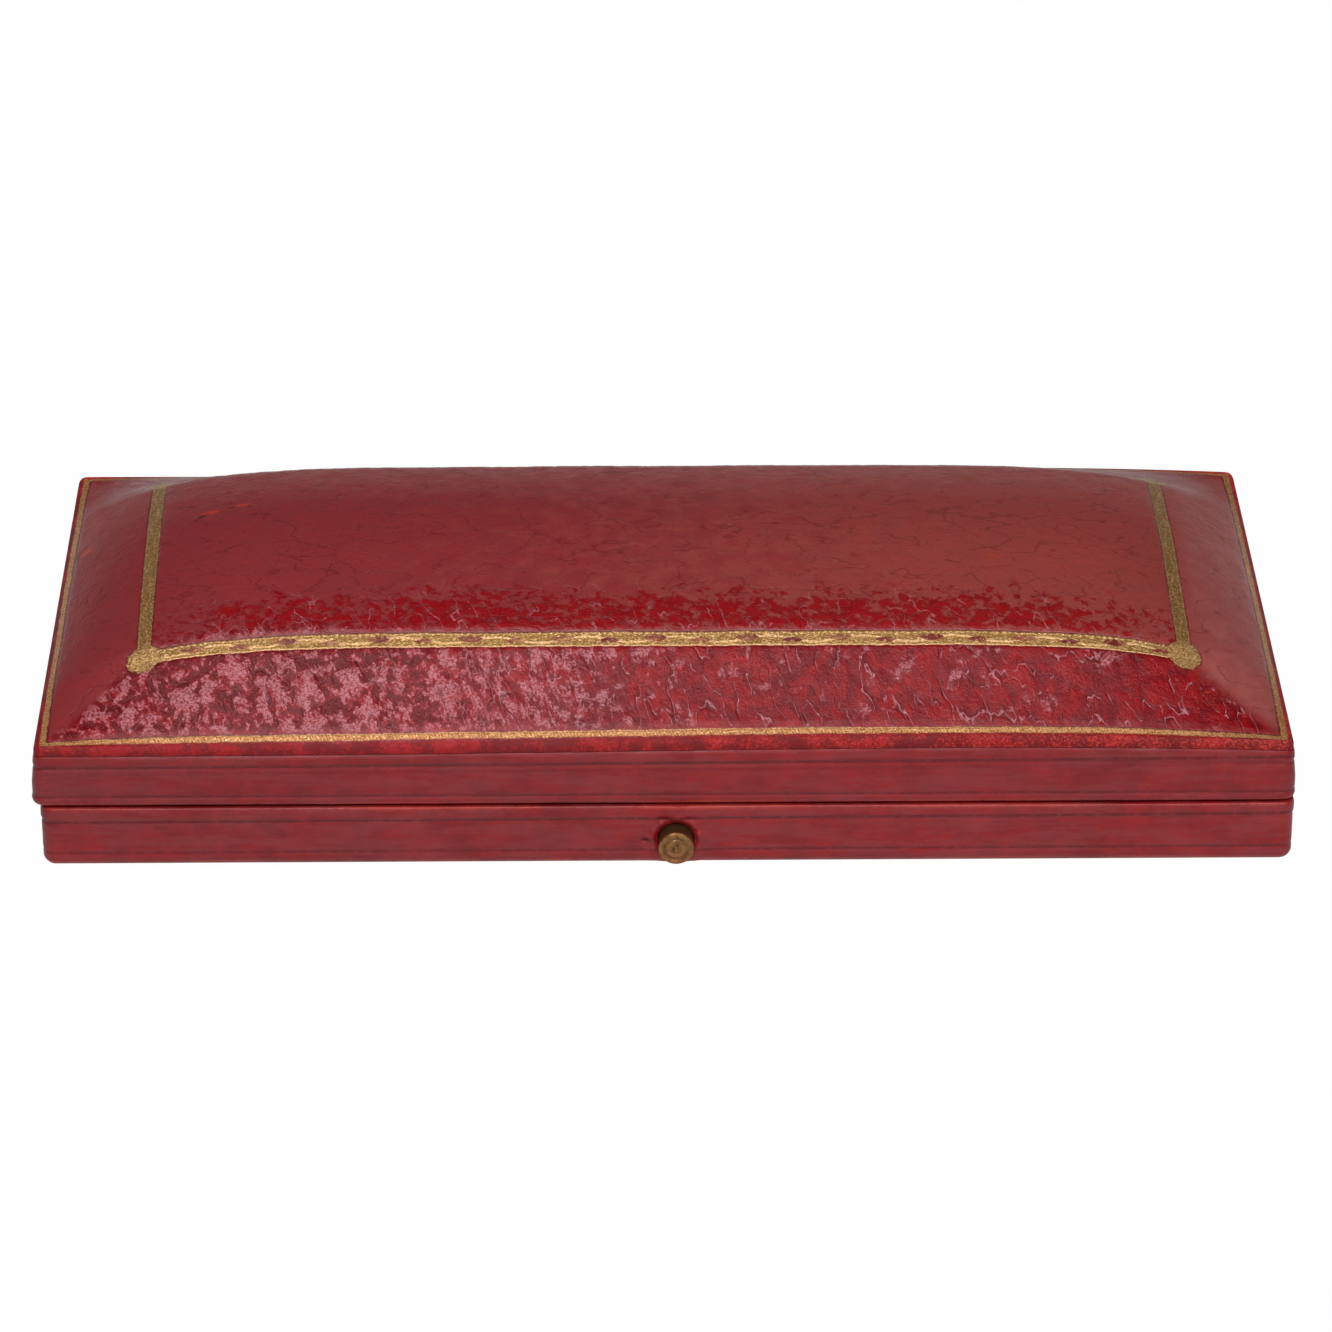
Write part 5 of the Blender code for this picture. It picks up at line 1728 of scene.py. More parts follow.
@dataclass
class LeatherWalls:
    """The leather round the base and round the lid, with their beads, blind lines and cut-outs."""

    palette: Palette
    form: LidForm = field(default_factory=LidForm)
    finish: LeatherFinish = field(default_factory=LeatherFinish)
    leather: float = 0.6 * MM
    foot_radius: float = 1.2 * MM
    foot_lift: float = 0.1 * MM
    turn_in: float = 3.0 * MM
    base_height: float = 7.1 * MM
    base_rim_radius: float = 0.25 * MM
    lid_rim: float = 7.4 * MM
    lid_rim_radius: float = 0.4 * MM
    seam_gap: float = 0.03 * MM
    swell: float = 0.35 * MM
    corner_radius: float = 1.0 * MM
    inner_radius: float = 0.2 * MM
    button_radius: float = 1.85 * MM
    button_clearance: float = 0.1 * MM
    hinge_inset: float = 0.5 * MM
    knuckle_radius: float = 0.8 * MM
    knuckle_clearance: float = 0.15 * MM
    cove_gap: float = 0.2 * MM
    seat_gap: float = 0.1 * MM
    seat_play: float = 0.05 * MM
    bevel_degrees: float = 51.0
    overrun: float = 1.0 * MM
    wall_steps: int = 34
    base_beads: tuple = (Bead(6.25, 0.72, 0.08, True), Bead(5.5, 0.20, -0.07), Bead(1.95, 0.18, -0.05))
    lid_beads: tuple = (
        Bead(12.45, 0.62, 0.08, True),
        Bead(8.00, 0.22, 0.06),
        Bead(11.72, 0.20, -0.08),
        Bead(8.50, 0.18, -0.05),
    )
    base_lines: tuple = (BlindLine(5.40 * MM, 0.0045, 1.0), BlindLine(1.80 * MM, 0.0020, 0.8))
    lid_lines: tuple = (
        BlindLine(11.75 * MM, 0.0055, 1.0),
        BlindLine(11.05 * MM, 0.0050, 0.35),
        BlindLine(8.50 * MM, 0.0, 0.8),
    )
    base_wear: tuple = ((7.0 * MM, 0.35 * MM), (0.6 * MM, 0.5 * MM))
    lid_wear: tuple = ((7.6 * MM, 0.35 * MM),)
    # Painted shade: how much darker each wall's leather is painted.
    base_shade: float = 0.06
    lid_shade: float = 0.14

    def inner(self, rails: Sequence[str]) -> Rect:
        """The opening between four walls of wood."""
        front, right, back, left = (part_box(name) for name in rails)
        return Rect(left[1].x, right[0].x, front[1].y, back[0].y)

    def within(self, rect: Rect, inset: float, z: float, arch: float = 0.0, swell: float = 0.0) -> Level:
        """A level inside the outer face, with its corners as much tighter."""
        return Level(
            rect.grown(-inset), max(self.corner_radius - inset, self.inner_radius), z, arch, swell=swell
        )

    @staticmethod
    def spaced(step: float, length: float) -> Array:
        """Even shares of a length."""
        return np.linspace(0, 1, max(2, round(length / step) + 1))

    def front_shares(self, rect: Rect, x: float) -> Array:
        """Shares along the front, closer together round the button.

        Args:
            rect: the outline.
            x: where the button stands.

        Returns:
            Rising shares from 0 to 1.
        """
        low, high = rect.x0 + self.corner_radius, rect.x1 - self.corner_radius
        near = np.arange(x - 6 * MM, x + 6.01 * MM, 0.16 * MM)
        left = np.linspace(low, near[0], 95)[:-1]
        right = np.linspace(near[-1], high, 95)[1:]
        return (np.concatenate([left, near, right]) - low) / (high - low)

    def base_levels(self, rect: Rect) -> list[Level]:
        """The base leather's section, from its turn-in underneath, out, up and over the rim.

        Args:
            rect: the outer outline.

        Returns:
            The levels in order.
        """
        levels = [Level(rect.grown(-self.turn_in), self.inner_radius, self.foot_lift)]
        for turn in np.linspace(0, math.pi / 2, 11):
            z = self.foot_lift + self.foot_radius * (1 - math.cos(turn))
            levels.append(self.within(rect, self.foot_radius * (1 - math.sin(turn)), z, swell=self.swell))
        start = self.foot_lift + self.foot_radius
        end = self.base_height - self.base_rim_radius
        for z in np.linspace(start, end, self.wall_steps)[1:-1]:
            out = sum(bead.at(z / MM) for bead in self.base_beads) * MM
            levels.append(Level(rect, self.corner_radius, z, 0.0, out, self.swell))
        for turn in np.linspace(0, math.pi / 2, 6):
            z = end + self.base_rim_radius * math.sin(turn)
            levels.append(self.within(rect, self.base_rim_radius * (1 - math.cos(turn)), z, swell=self.swell))
        inner = self.inner(("base_front_rail", "base_right_rail", "base_back_rail", "base_left_rail"))
        rim = rect.grown(-self.base_rim_radius)
        for share in (0.25, 0.5, 0.75, 1.0):
            levels.append(Level(rim.blended(inner, share), self.inner_radius, self.base_height))
        under = self.base_height - self.leather
        levels.append(Level(inner, self.inner_radius, under))
        levels.append(self.within(rect, self.leather, under))
        reach = self.foot_radius - self.leather
        for turn in np.linspace(math.pi / 2, 0, 5):
            z = self.foot_lift + self.foot_radius - reach * math.cos(turn)
            levels.append(self.within(rect, self.foot_radius - reach * math.sin(turn), z))
        levels.append(Level(rect.grown(-self.turn_in), self.inner_radius, self.foot_lift + self.leather))
        return levels

    def lid_levels(self, rect: Rect) -> list[Level]:
        """The lid leather's section, from the inner edge of its rim, out and up to the seam.

        Args:
            rect: the outer outline.

        Returns:
            The levels in order.
        """
        inner = self.inner(("lid_front_rail", "lid_right_rail", "lid_back_rail", "lid_left_rail"))
        outer = rect.grown(-self.lid_rim_radius)
        levels = []
        for share in (0.0, 0.25, 0.5, 0.75):
            levels.append(Level(inner.blended(outer, share), self.inner_radius, self.lid_rim))
        for turn in np.linspace(0, math.pi / 2, 8):
            z = self.lid_rim + self.lid_rim_radius * (1 - math.cos(turn))
            levels.append(self.within(rect, self.lid_rim_radius * (1 - math.sin(turn)), z, swell=self.swell))
        start = self.lid_rim + self.lid_rim_radius
        seam = self.form.seam_z - self.seam_gap
        beads = (*self.lid_beads, Bead(seam / MM, 0.10, -0.05))
        for z in np.linspace(start, seam, self.wall_steps)[1:]:
            share = (z - start) / (seam - start)
            out = sum(bead.at(z / MM) for bead in beads) * MM
            swell = self.swell * min(1.0, (1 - share) * 1.6)
            levels.append(Level(rect, self.corner_radius, z, self.form.seam_arch * share**2, out, swell))
        levels.append(self.within(rect, self.leather, seam, self.form.seam_arch))
        under = self.lid_rim + self.leather
        levels.append(self.within(rect, self.leather, under))
        levels.append(Level(inner, self.inner_radius, under))
        return levels

    def worked(self, piece: Piece, node: str, button: Optional[Vector] = None) -> None:
        """Gives a wall its slight unevenness, and the puckered leather round the button.

        Args:
            piece: the wall.
            node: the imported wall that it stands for.
            button: where the button's axis meets the wall, if it does.
        """
        places, normals = coordinates(piece.data)
        mm = places / MM
        noise = Lattice(41)
        lift = 0.05 * noise.layered(mm, (7.0, 7.0, 3.0)) + 0.02 * noise.layered(mm, 1.4)
        if button is not None:
            across = mm[:, 0] - button.x / MM
            up = mm[:, 2] - button.z / MM
            away = np.hypot(across, up)
            turn = np.arctan2(up, across)
            folds = 0.65 + 0.35 * np.sin(9 * turn + 2.4 * noise.smooth(mm, 1.5)) + 0.25 * np.sin(5 * turn + 1)
            at_front = places[:, 1] < button.y + 1 * MM
            ring = 0.26 * bell(away - 2.45, 0.36) * folds + 0.10 * bell(away - 3.3, 0.8) * folds
            sunk = -0.16 * bell(away - 1.95, 0.22)
            slit = -0.35 * bell(np.hypot((across + 3.2) / 0.45, (up + 0.05) / 0.16), 1.0)
            beside = across + 2.8
            flap = 0.22 * bell(np.hypot(beside / 0.60, (up - 0.42 + 0.3 * beside) / 0.24), 1.0)
            lift += np.where(at_front, ring + sunk + slit + flap, 0)
        outer_face = np.abs(normals[:, 2]) < 0.8
        rect = Rect.of(node)
        outer_face &= rect.inside(places[:, 0], places[:, 1]) < 0.45 * MM
        moved(piece.data, places + normals * (lift * MM * outer_face)[:, None])

    def hinge_cutters(self, side: str, base: bool) -> list[Piece]:
        """The seat of a hinge leaf and the hollow round its knuckles.

        Args:
            side: left or right.
            base: for the base, or else for the lid.

        Returns:
            The cutters.
        """
        low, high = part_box(f"hinge_{'base' if base else 'lid'}_leaf_{side}")
        pin_low, pin_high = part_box(f"hinge_pin_{side}")
        axis = (pin_low + pin_high) / 2
        reach = self.cove_gap
        cove = bar(
            f"cove_{side}",
            self.knuckle_radius + self.knuckle_clearance,
            (pin_low.x - reach, axis.y, axis.z),
            (pin_high.x + reach, axis.y, axis.z),
        )
        z0, z1 = self.seat_levels(base)
        seat = block(
            f"seat_{side}",
            (low.x - self.seat_gap, low.y - self.seat_gap, z0),
            (high.x + self.seat_gap, axis.y, z1),
        )
        return [cove, seat]

    def seat_levels(self, base: bool) -> tuple[float, float]:
        """The lower and upper end of a seat that is cut into a rim's leather."""
        if base:
            return self.base_height - self.leather - self.seat_play, self.base_height + self.overrun
        return self.lid_rim - self.overrun, self.lid_rim + self.leather + self.seat_play

    def bevel_cutter(self, base: bool) -> Piece:
        """The wedge that bevels a back edge through the hinge axis.

        Args:
            base: whether the base is cut, and not the lid.

        Returns:
            The cutter.
        """
        low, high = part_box("hinge_pin_left")
        axis = (low + high) / 2
        rect = Rect.of("lid_top_leather")
        reach = self.hinge_inset + self.overrun
        fall = reach * math.tan(math.radians(self.bevel_degrees)) * (-1 if base else 1)
        x0, x1 = rect.x0 - self.overrun, rect.x1 + self.overrun
        back = axis.y + reach
        made = bmesh.new()
        corners = [(x0, axis.y, axis.z), (x0, back, axis.z), (x0, back, axis.z + fall)]
        face = made.faces.new([made.verts.new(corner) for corner in corners])
        grown = bmesh.ops.extrude_face_region(made, geom=[face])["geom"]
        far = [item for item in grown if isinstance(item, bmesh.types.BMVert)]
        bmesh.ops.translate(made, verts=far, vec=(x1 - x0, 0, 0))
        bmesh.ops.recalc_face_normals(made, faces=made.faces[:])
        return loose("back_bevel", made)

    def plate_cutter(self, node: str, base: bool) -> Piece:
        """The seat of a latch plate."""
        rect = Rect.of(node).grown(self.seat_gap)
        z0, z1 = self.seat_levels(base)
        return block(f"{node}_seat", (rect.x0, rect.y0, z0), (rect.x1, rect.y1, z1))

    def cutters(self, plate: str, base: bool) -> list[Piece]:
        """All that is cut out of a wall for the hinges, the back bevel and a latch plate."""
        hinges = self.hinge_cutters("left", base) + self.hinge_cutters("right", base)
        return [*hinges, self.bevel_cutter(base), self.plate_cutter(plate, base)]

    def build_base(self) -> Piece:
        """The base's leather.

        Returns:
            The wall.
        """
        rect = Rect.of("base_side_leather")
        low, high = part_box("push_button")
        middle = (low + high) / 2
        button = Vector((middle.x, rect.y0 - self.swell, middle.z))
        walk = Walk(
            self.front_shares(rect, button.x),
            self.spaced(0.7 * MM, rect.deep),
            self.spaced(0.9 * MM, rect.wide),
            6,
        )
        made = ring_mesh(walk, self.base_levels(rect), self.form)
        # The slit beside the button, darkened with painted shade.
        nick = button + Vector((-3.25 * MM, 0, -0.05 * MM))
        name = "smooth_red_leather_base"
        finish = self.finish.side(self.palette, name, self.base_lines, self.base_wear, self.base_shade, nick)
        piece = finished("base_wall_leather", made, finish)
        self.worked(piece, "base_side_leather", button)
        bore = self.button_radius + self.button_clearance
        start = (button.x, button.y - self.overrun, button.z)
        end = (button.x, button.y + self.overrun + self.leather, button.z)
        cutters = self.cutters("strike_plate", True) + [bar("button_bore", bore, start, end, 56)]
        carved(piece, cutters)
        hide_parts("base_side_leather")
        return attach(piece, "base")

    def build_lid(self) -> Piece:
        """The lid's side leather.

        Returns:
            The wall.
        """
        rect = self.form.rect
        walk = Walk(
            self.spaced(0.6 * MM, rect.wide),
            self.spaced(0.7 * MM, rect.deep),
            self.spaced(0.6 * MM, rect.wide),
            6,
        )
        made = ring_mesh(walk, self.lid_levels(rect), self.form)
        name = "smooth_red_leather_lid"
        finish = self.finish.side(self.palette, name, self.lid_lines, self.lid_wear, self.lid_shade)
        piece = finished("lid_wall_leather", made, finish)
        self.worked(piece, "lid_side_leather")
        carved(piece, self.cutters("lid_hook", False))
        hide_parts("lid_side_leather")
        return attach(piece, "lid")


@dataclass
class Latch:
    """The turned push button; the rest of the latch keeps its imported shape."""

    palette: Palette
    finish: BrassFinish = field(default_factory=BrassFinish)
    radius: float = 1.85 * MM
    edge: float = 0.18 * MM
    ring_inner: float = 1.02 * MM
    ring_outer: float = 1.40 * MM
    ring_depth: float = 0.06 * MM
    nib_radius: float = 0.30 * MM
    nib_height: float = 0.22 * MM
    rivet_radius: float = 0.6 * MM
    rivet_head_radius: float = 0.9 * MM
    rivet_head_height: float = 0.25 * MM
    seat_depth: float = 1.85 * MM
    rivet_depth: float = 2.45 * MM
    steps: int = 72

    def profile(self, proud: float, nib: float) -> list[tuple[float, float]]:
        """The button's section.

        Args:
            proud: how far the face stands out of the wall.
            nib: how far the nib stands out of the face.

        Returns:
            Radius and distance behind the face, point by point.
        """
        quarter = np.linspace(0, math.pi / 2, 6)
        points = [(self.nib_radius * math.sin(turn), -nib * math.cos(turn)) for turn in quarter]
        points += [(0.42 * MM, 0.03 * MM), (0.55 * MM, 0.0), (0.9 * MM, -0.03 * MM), (self.ring_inner, 0.0)]
        middle = (self.ring_inner + self.ring_outer) / 2
        half = (self.ring_outer - self.ring_inner) / 2
        for turn in np.linspace(0.4, math.pi - 0.4, 5):
            points.append((middle - half * math.cos(turn), self.ring_depth * math.sin(turn)))
        points += [(self.ring_outer, 0.0), (self.radius - self.edge - 0.05 * MM, -0.02 * MM)]
        for turn in quarter:
            points.append((self.radius - self.edge * (1 - math.sin(turn)), self.edge * (1 - math.cos(turn))))
        seat = proud + self.seat_depth
        rivet = proud + self.rivet_depth
        points += [
            (self.radius, self.edge + 0.25 * MM),
            (self.radius - 0.05 * MM, self.edge + 0.32 * MM),
            (self.radius - 0.05 * MM, seat),
        ]
        points += [(self.rivet_radius, seat), (self.rivet_radius, rivet), (self.rivet_head_radius, rivet)]
        top = rivet + self.rivet_head_height
        return points + [(self.rivet_head_radius, top), (0.0, top)]

    def build(self) -> Piece:
        """The button, spun about its axis.

        Returns:
            The button.
        """
        low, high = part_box("push_button")
        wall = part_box("base_side_leather")[0].y
        nib = self.nib_height
        face = low.y + nib
        axis = Vector(((low.x + high.x) / 2, face, (low.z + high.z) / 2))
        made = bmesh.new()
        points = [made.verts.new((radius, 0, along)) for radius, along in self.profile(wall - face, nib)]
        edges = [made.edges.new(pair) for pair in zip(points, points[1:])]
        bmesh.ops.spin(
            made,
            geom=points + edges,
            cent=(0, 0, 0),
            axis=(0, 0, 1),
            angle=math.tau,
            steps=self.steps,
            use_merge=True,
        )
        bmesh.ops.remove_doubles(made, verts=made.verts[:], dist=WELD)
        turn = Vector((0, 1, 0)).to_track_quat("Z", "Y").to_matrix().to_4x4()
        bmesh.ops.transform(made, matrix=Matrix.Translation(axis) @ turn, verts=made.verts[:])
        piece = finished("turned_push_button", made, self.finish.button(self.palette, axis, self.radius), 50)
        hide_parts("push_button")
        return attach(piece, "button")


@dataclass
class Interior:
    """The velvet bed and collars in the base, and the satin in the lid."""

    palette: Palette
    plain: PlainFinishes = field(default_factory=PlainFinishes)
    bed_steps: tuple = (0.6 * MM, 0.22 * MM)
    lid_pad_steps: tuple = (0.5 * MM, 0.5 * MM)
    pad_corner: float = 1.2 * MM
    border_corner: float = 0.25 * MM
    face_edge: float = 0.35 * MM
    slit_half_width: float = 0.42 * MM
    slit_depth: float = 1.05 * MM
    slit_length: float = 12 * MM
    slit_column_share: float = 0.24
    slit_row_share: float = 0.215
    slit_dip: tuple = (0.16 * MM, 1.3 * MM)
    slit_lip: tuple = (0.09 * MM, 0.7 * MM)
    slit_lip_away: float = 1.5 * MM
    bed_edge: float = 1.25 * MM
    bed_puff: tuple = (0.42 * MM, 2.2 * MM)
    lid_puff: tuple = (0.62 * MM, 3.2 * MM)
    lid_puff_limit: float = 0.70 * MM
    gathers: tuple = (0.14 * MM, 2.4 * MM)

    def pillow(
        self,
        rect: Rect,
        rings: Sequence[tuple[float, float, float]],
        steps: tuple[float, float],
        crown: Callable[[Array, Array, Array], Array],
    ) -> Mesh:
        """A closed pad: rings from its flat back to the edge of its face, and a face shaped by a function.

        Args:
            rect: its outline.
            rings: the inset, level and corner radius of each ring, the back's first and the face's last.
            steps: the width and depth of the face's quads.
            crown: takes x, y and the distance to the edge, and returns how far the face rises.

        Returns:
            The mesh in the making.
        """
        insets, levels, radii = (np.array(values) for values in zip(*rings))
        outward = math.copysign(1, levels[-1] - levels[0])

        def level(x: Array, y: Array, ring: Array) -> Array:
            """The height of the pillow's points.

            Args:
                x, y: the places in plan.
                ring: the ring of each.

            Returns:
                One height each.
            """
            rise = crown(x, y, rect.inside(x, y) - insets[-1] + self.face_edge)
            return levels[ring] + np.where(ring == len(levels) - 1, rise, 0) * outward

        quads = (round(rect.wide / steps[0]), round(rect.deep / steps[1]))
        made = ringed_grid(rect, insets, radii, quads, level)
        bmesh.ops.holes_fill(made, edges=[edge for edge in made.edges if edge.is_boundary], sides=0)
        return made

    def build_bed(self) -> Piece:
        """The velvet bed with four slits.

        Returns:
            The bed.
        """
        low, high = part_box("velvet_pad")
        rect = Rect.of("velvet_pad")
        middle_x, middle_y = rect.middle
        noise = Lattice(61)

        def crown(x: Array, y: Array, edge: Array) -> Array:
            """How far the velvet stands above the bed's edge.

            Args:
                x, y: the places in plan.
                edge: how far each is from the nearest edge.

            Returns:
                One rise each.
            """
            rise = self.bed_puff[0] * (1 - np.exp(-edge / self.bed_puff[1]))
            points = np.stack([x, y, np.zeros(len(x))], axis=1)
            rise += 0.05 * MM * noise.layered(points, 5 * MM) * smoothstep(edge, 0, 2 * MM)
            for side_x, side_y in itertools.product((-1, 1), repeat=2):
                away_x = np.abs(x - middle_x - side_x * self.slit_column_share * rect.wide)
                away_y = np.abs(y - middle_y - side_y * self.slit_row_share * rect.deep)
                along = 1 - smoothstep(
                    away_x, self.slit_length / 2 - 0.6 * MM, self.slit_length / 2 + 0.4 * MM
                )
                rise -= along * self.slit_depth * bell(away_y, self.slit_half_width)
                rise -= along * self.slit_dip[0] * bell(away_y, self.slit_dip[1])
                rise += along * self.slit_lip[0] * bell(away_y - self.slit_lip_away, self.slit_lip[1])
            return np.minimum(rise, high.z - low.z - self.bed_edge)

        sides = ((0.7, 0.0), (0.12, 0.0), (0.0, 0.31), (0.0, 0.87), (0.10, 1.15), (0.35, self.bed_edge / MM))
        rings = [(inset * MM, low.z + rise * MM, self.pad_corner) for inset, rise in sides]
        made = self.pillow(rect, rings, self.bed_steps, crown)
        piece = finished("velvet_bed", made, self.plain.cloth(self.palette, Cloth.VELVET), 70)
        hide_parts("velvet_pad")
        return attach(piece, "base")

    def build_lid_pad(self) -> Piece:
        """The puffed satin in the lid, gathered at its edges.

        Returns:
            The pad.
        """
        low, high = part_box("lid_satin_pad")
        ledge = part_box("lid_panel")[0].z
        rect = Rect(
            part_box("lid_lining_left")[1].x,
            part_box("lid_lining_right")[0].x,
            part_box("lid_lining_front")[1].y,
            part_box("lid_lining_back")[0].y,
        ).grown(-0.05 * MM)
        border = low.x - rect.x0
        noise = Lattice(71)

        def crown(x: Array, y: Array, edge: Array) -> Array:
            """How far the satin stands out from the pad's edge.

            Args:
                x, y: the places in plan.
                edge: how far each is from the nearest edge.

            Returns:
                One rise each.
            """
            points = np.stack([x, y, np.zeros(len(x))], axis=1)
            puffed = self.lid_puff[0] * (1 - np.exp(-edge / self.lid_puff[1]))
            on_long = np.minimum(y - rect.y0, rect.y1 - y) < np.minimum(x - rect.x0, rect.x1 - x)
            along = np.where(on_long, x, y) / MM
            wander = noise.layered(points, 6 * MM)
            pleats = np.sin(along * 1.9 + 2.5 * wander) * 0.5 + np.sin(along * 3.7 + 4 * wander) * 0.3
            gathered = self.gathers[0] * pleats * np.exp(-edge / self.gathers[1])
            gathered *= smoothstep(edge, 0.3 * MM, 1.2 * MM)
            return np.clip(puffed + gathered + 0.04 * MM * wander, 0, self.lid_puff_limit)

        tight, round_corner = self.border_corner, self.pad_corner
        face = low.z + self.lid_puff_limit
        # The back in the recess, the border that covers the wooden ledge, and the way up to the face.
        rings = [
            (border + 0.70 * MM, high.z, round_corner),
            (border + 0.05 * MM, high.z, round_corner),
            (border, ledge - 0.03 * MM, round_corner),
            (0.02 * MM, ledge - 0.03 * MM, tight),
            (0.0, ledge - 0.12 * MM, tight),
            (0.10 * MM, ledge - 0.23 * MM, tight),
            (border - 0.30 * MM, ledge - 0.25 * MM, round_corner),
            (border + 0.10 * MM, ledge, round_corner),
            (border + 0.35 * MM, face - 0.08 * MM, round_corner),
            (border + 0.70 * MM, face, round_corner),
        ]
        made = self.pillow(rect, rings, self.lid_pad_steps, crown)
        piece = finished("satin_lid_pad", made, self.plain.cloth(self.palette, Cloth.SATIN), 70)
        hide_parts("lid_satin_pad")
        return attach(piece, "lid")

    @staticmethod
    def is_long_corner(edge: bmesh.types.BMEdge, axis: int) -> bool:
        """Whether an edge runs along an axis and its faces stand well apart."""
        if len(edge.link_faces) != 2 or edge.calc_face_angle(0) <= 0.8:
            return False
        return abs((edge.verts[0].co - edge.verts[1].co).normalized()[axis]) > 0.9

    def covered_strip(
        self, name: str, node: str, body: str, kind: Cloth, rounding: float, pull: float
    ) -> Piece:
        """A strip covered in fabric, in the place of a packed strip.

        Args:
            name: the piece's name.
            node: the strip that it stands for.
            body: the body that it rides on.
            kind: the fabric.
            rounding: how far its long edges are rounded.
            pull: how far its faces hollow along it.

        Returns:
            The piece.
        """
        made = bmesh.new()
        made.from_mesh(frame["nodes"][node].data)
        bmesh.ops.remove_doubles(made, verts=made.verts[:], dist=WELD)
        bmesh.ops.dissolve_limit(made, angle_limit=math.radians(3), verts=made.verts[:], edges=made.edges[:])
        bmesh.ops.recalc_face_normals(made, faces=made.faces[:])
        low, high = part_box(node)
        size = high - low
        axis = 0 if size.x > size.y else 1
        steps = round(size[axis] / (1.5 * MM))
        normal = Vector((1, 0, 0)) if axis == 0 else Vector((0, 1, 0))
        for cut_index in range(1, steps):
            at = low.copy()
            at[axis] += size[axis] * cut_index / steps
            bmesh.ops.bisect_plane(
                made, geom=made.verts[:] + made.edges[:] + made.faces[:], plane_co=at, plane_no=normal
            )
        if rounding:
            sharp = [edge for edge in made.edges if self.is_long_corner(edge, axis)]
            bmesh.ops.bevel(
                made,
                geom=sharp,
                offset=rounding,
                offset_type="OFFSET",
                affect="EDGES",
                segments=3,
                profile=0.5,
                material=-1,
                clamp_overlap=True,
            )
        piece = finished(name, made, self.plain.cloth(self.palette, kind), 50)
        places, normals = coordinates(piece.data)
        waves = Lattice(83).layered(places, 3.5 * MM)
        moved(piece.data, places + normals * np.minimum(pull * waves, 0)[:, None])
        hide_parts(node)
        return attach(piece, body)

    def build_strips(self) -> list[Piece]:
        """The velvet collars and the satin linings.

        Returns:
            The eight strips.
        """
        pieces = []
        for side in ("front", "right", "back", "left"):
            pieces.append(
                self.covered_strip(
                    f"velvet_collar_{side}",
                    f"collar_{side}",
                    "base",
                    Cloth.VELVET,
                    0.0,
                    0.05 * MM,
                )
            )
            pieces.append(
                self.covered_strip(
                    f"satin_lining_{side}",
                    f"lid_lining_{side}",
                    "lid",
                    Cloth.SATIN,
                    0.12 * MM,
                    0.03 * MM,
                )
            )
        return pieces


class Lamp(NamedTuple):
    """A soft rectangular lamp: where it hangs and points, its width and height, its watts and its colour."""

    name: str
    place: tuple
    aim: tuple
    size: tuple
    watts: float
    colour: tuple = (1.0, 1.0, 1.0)


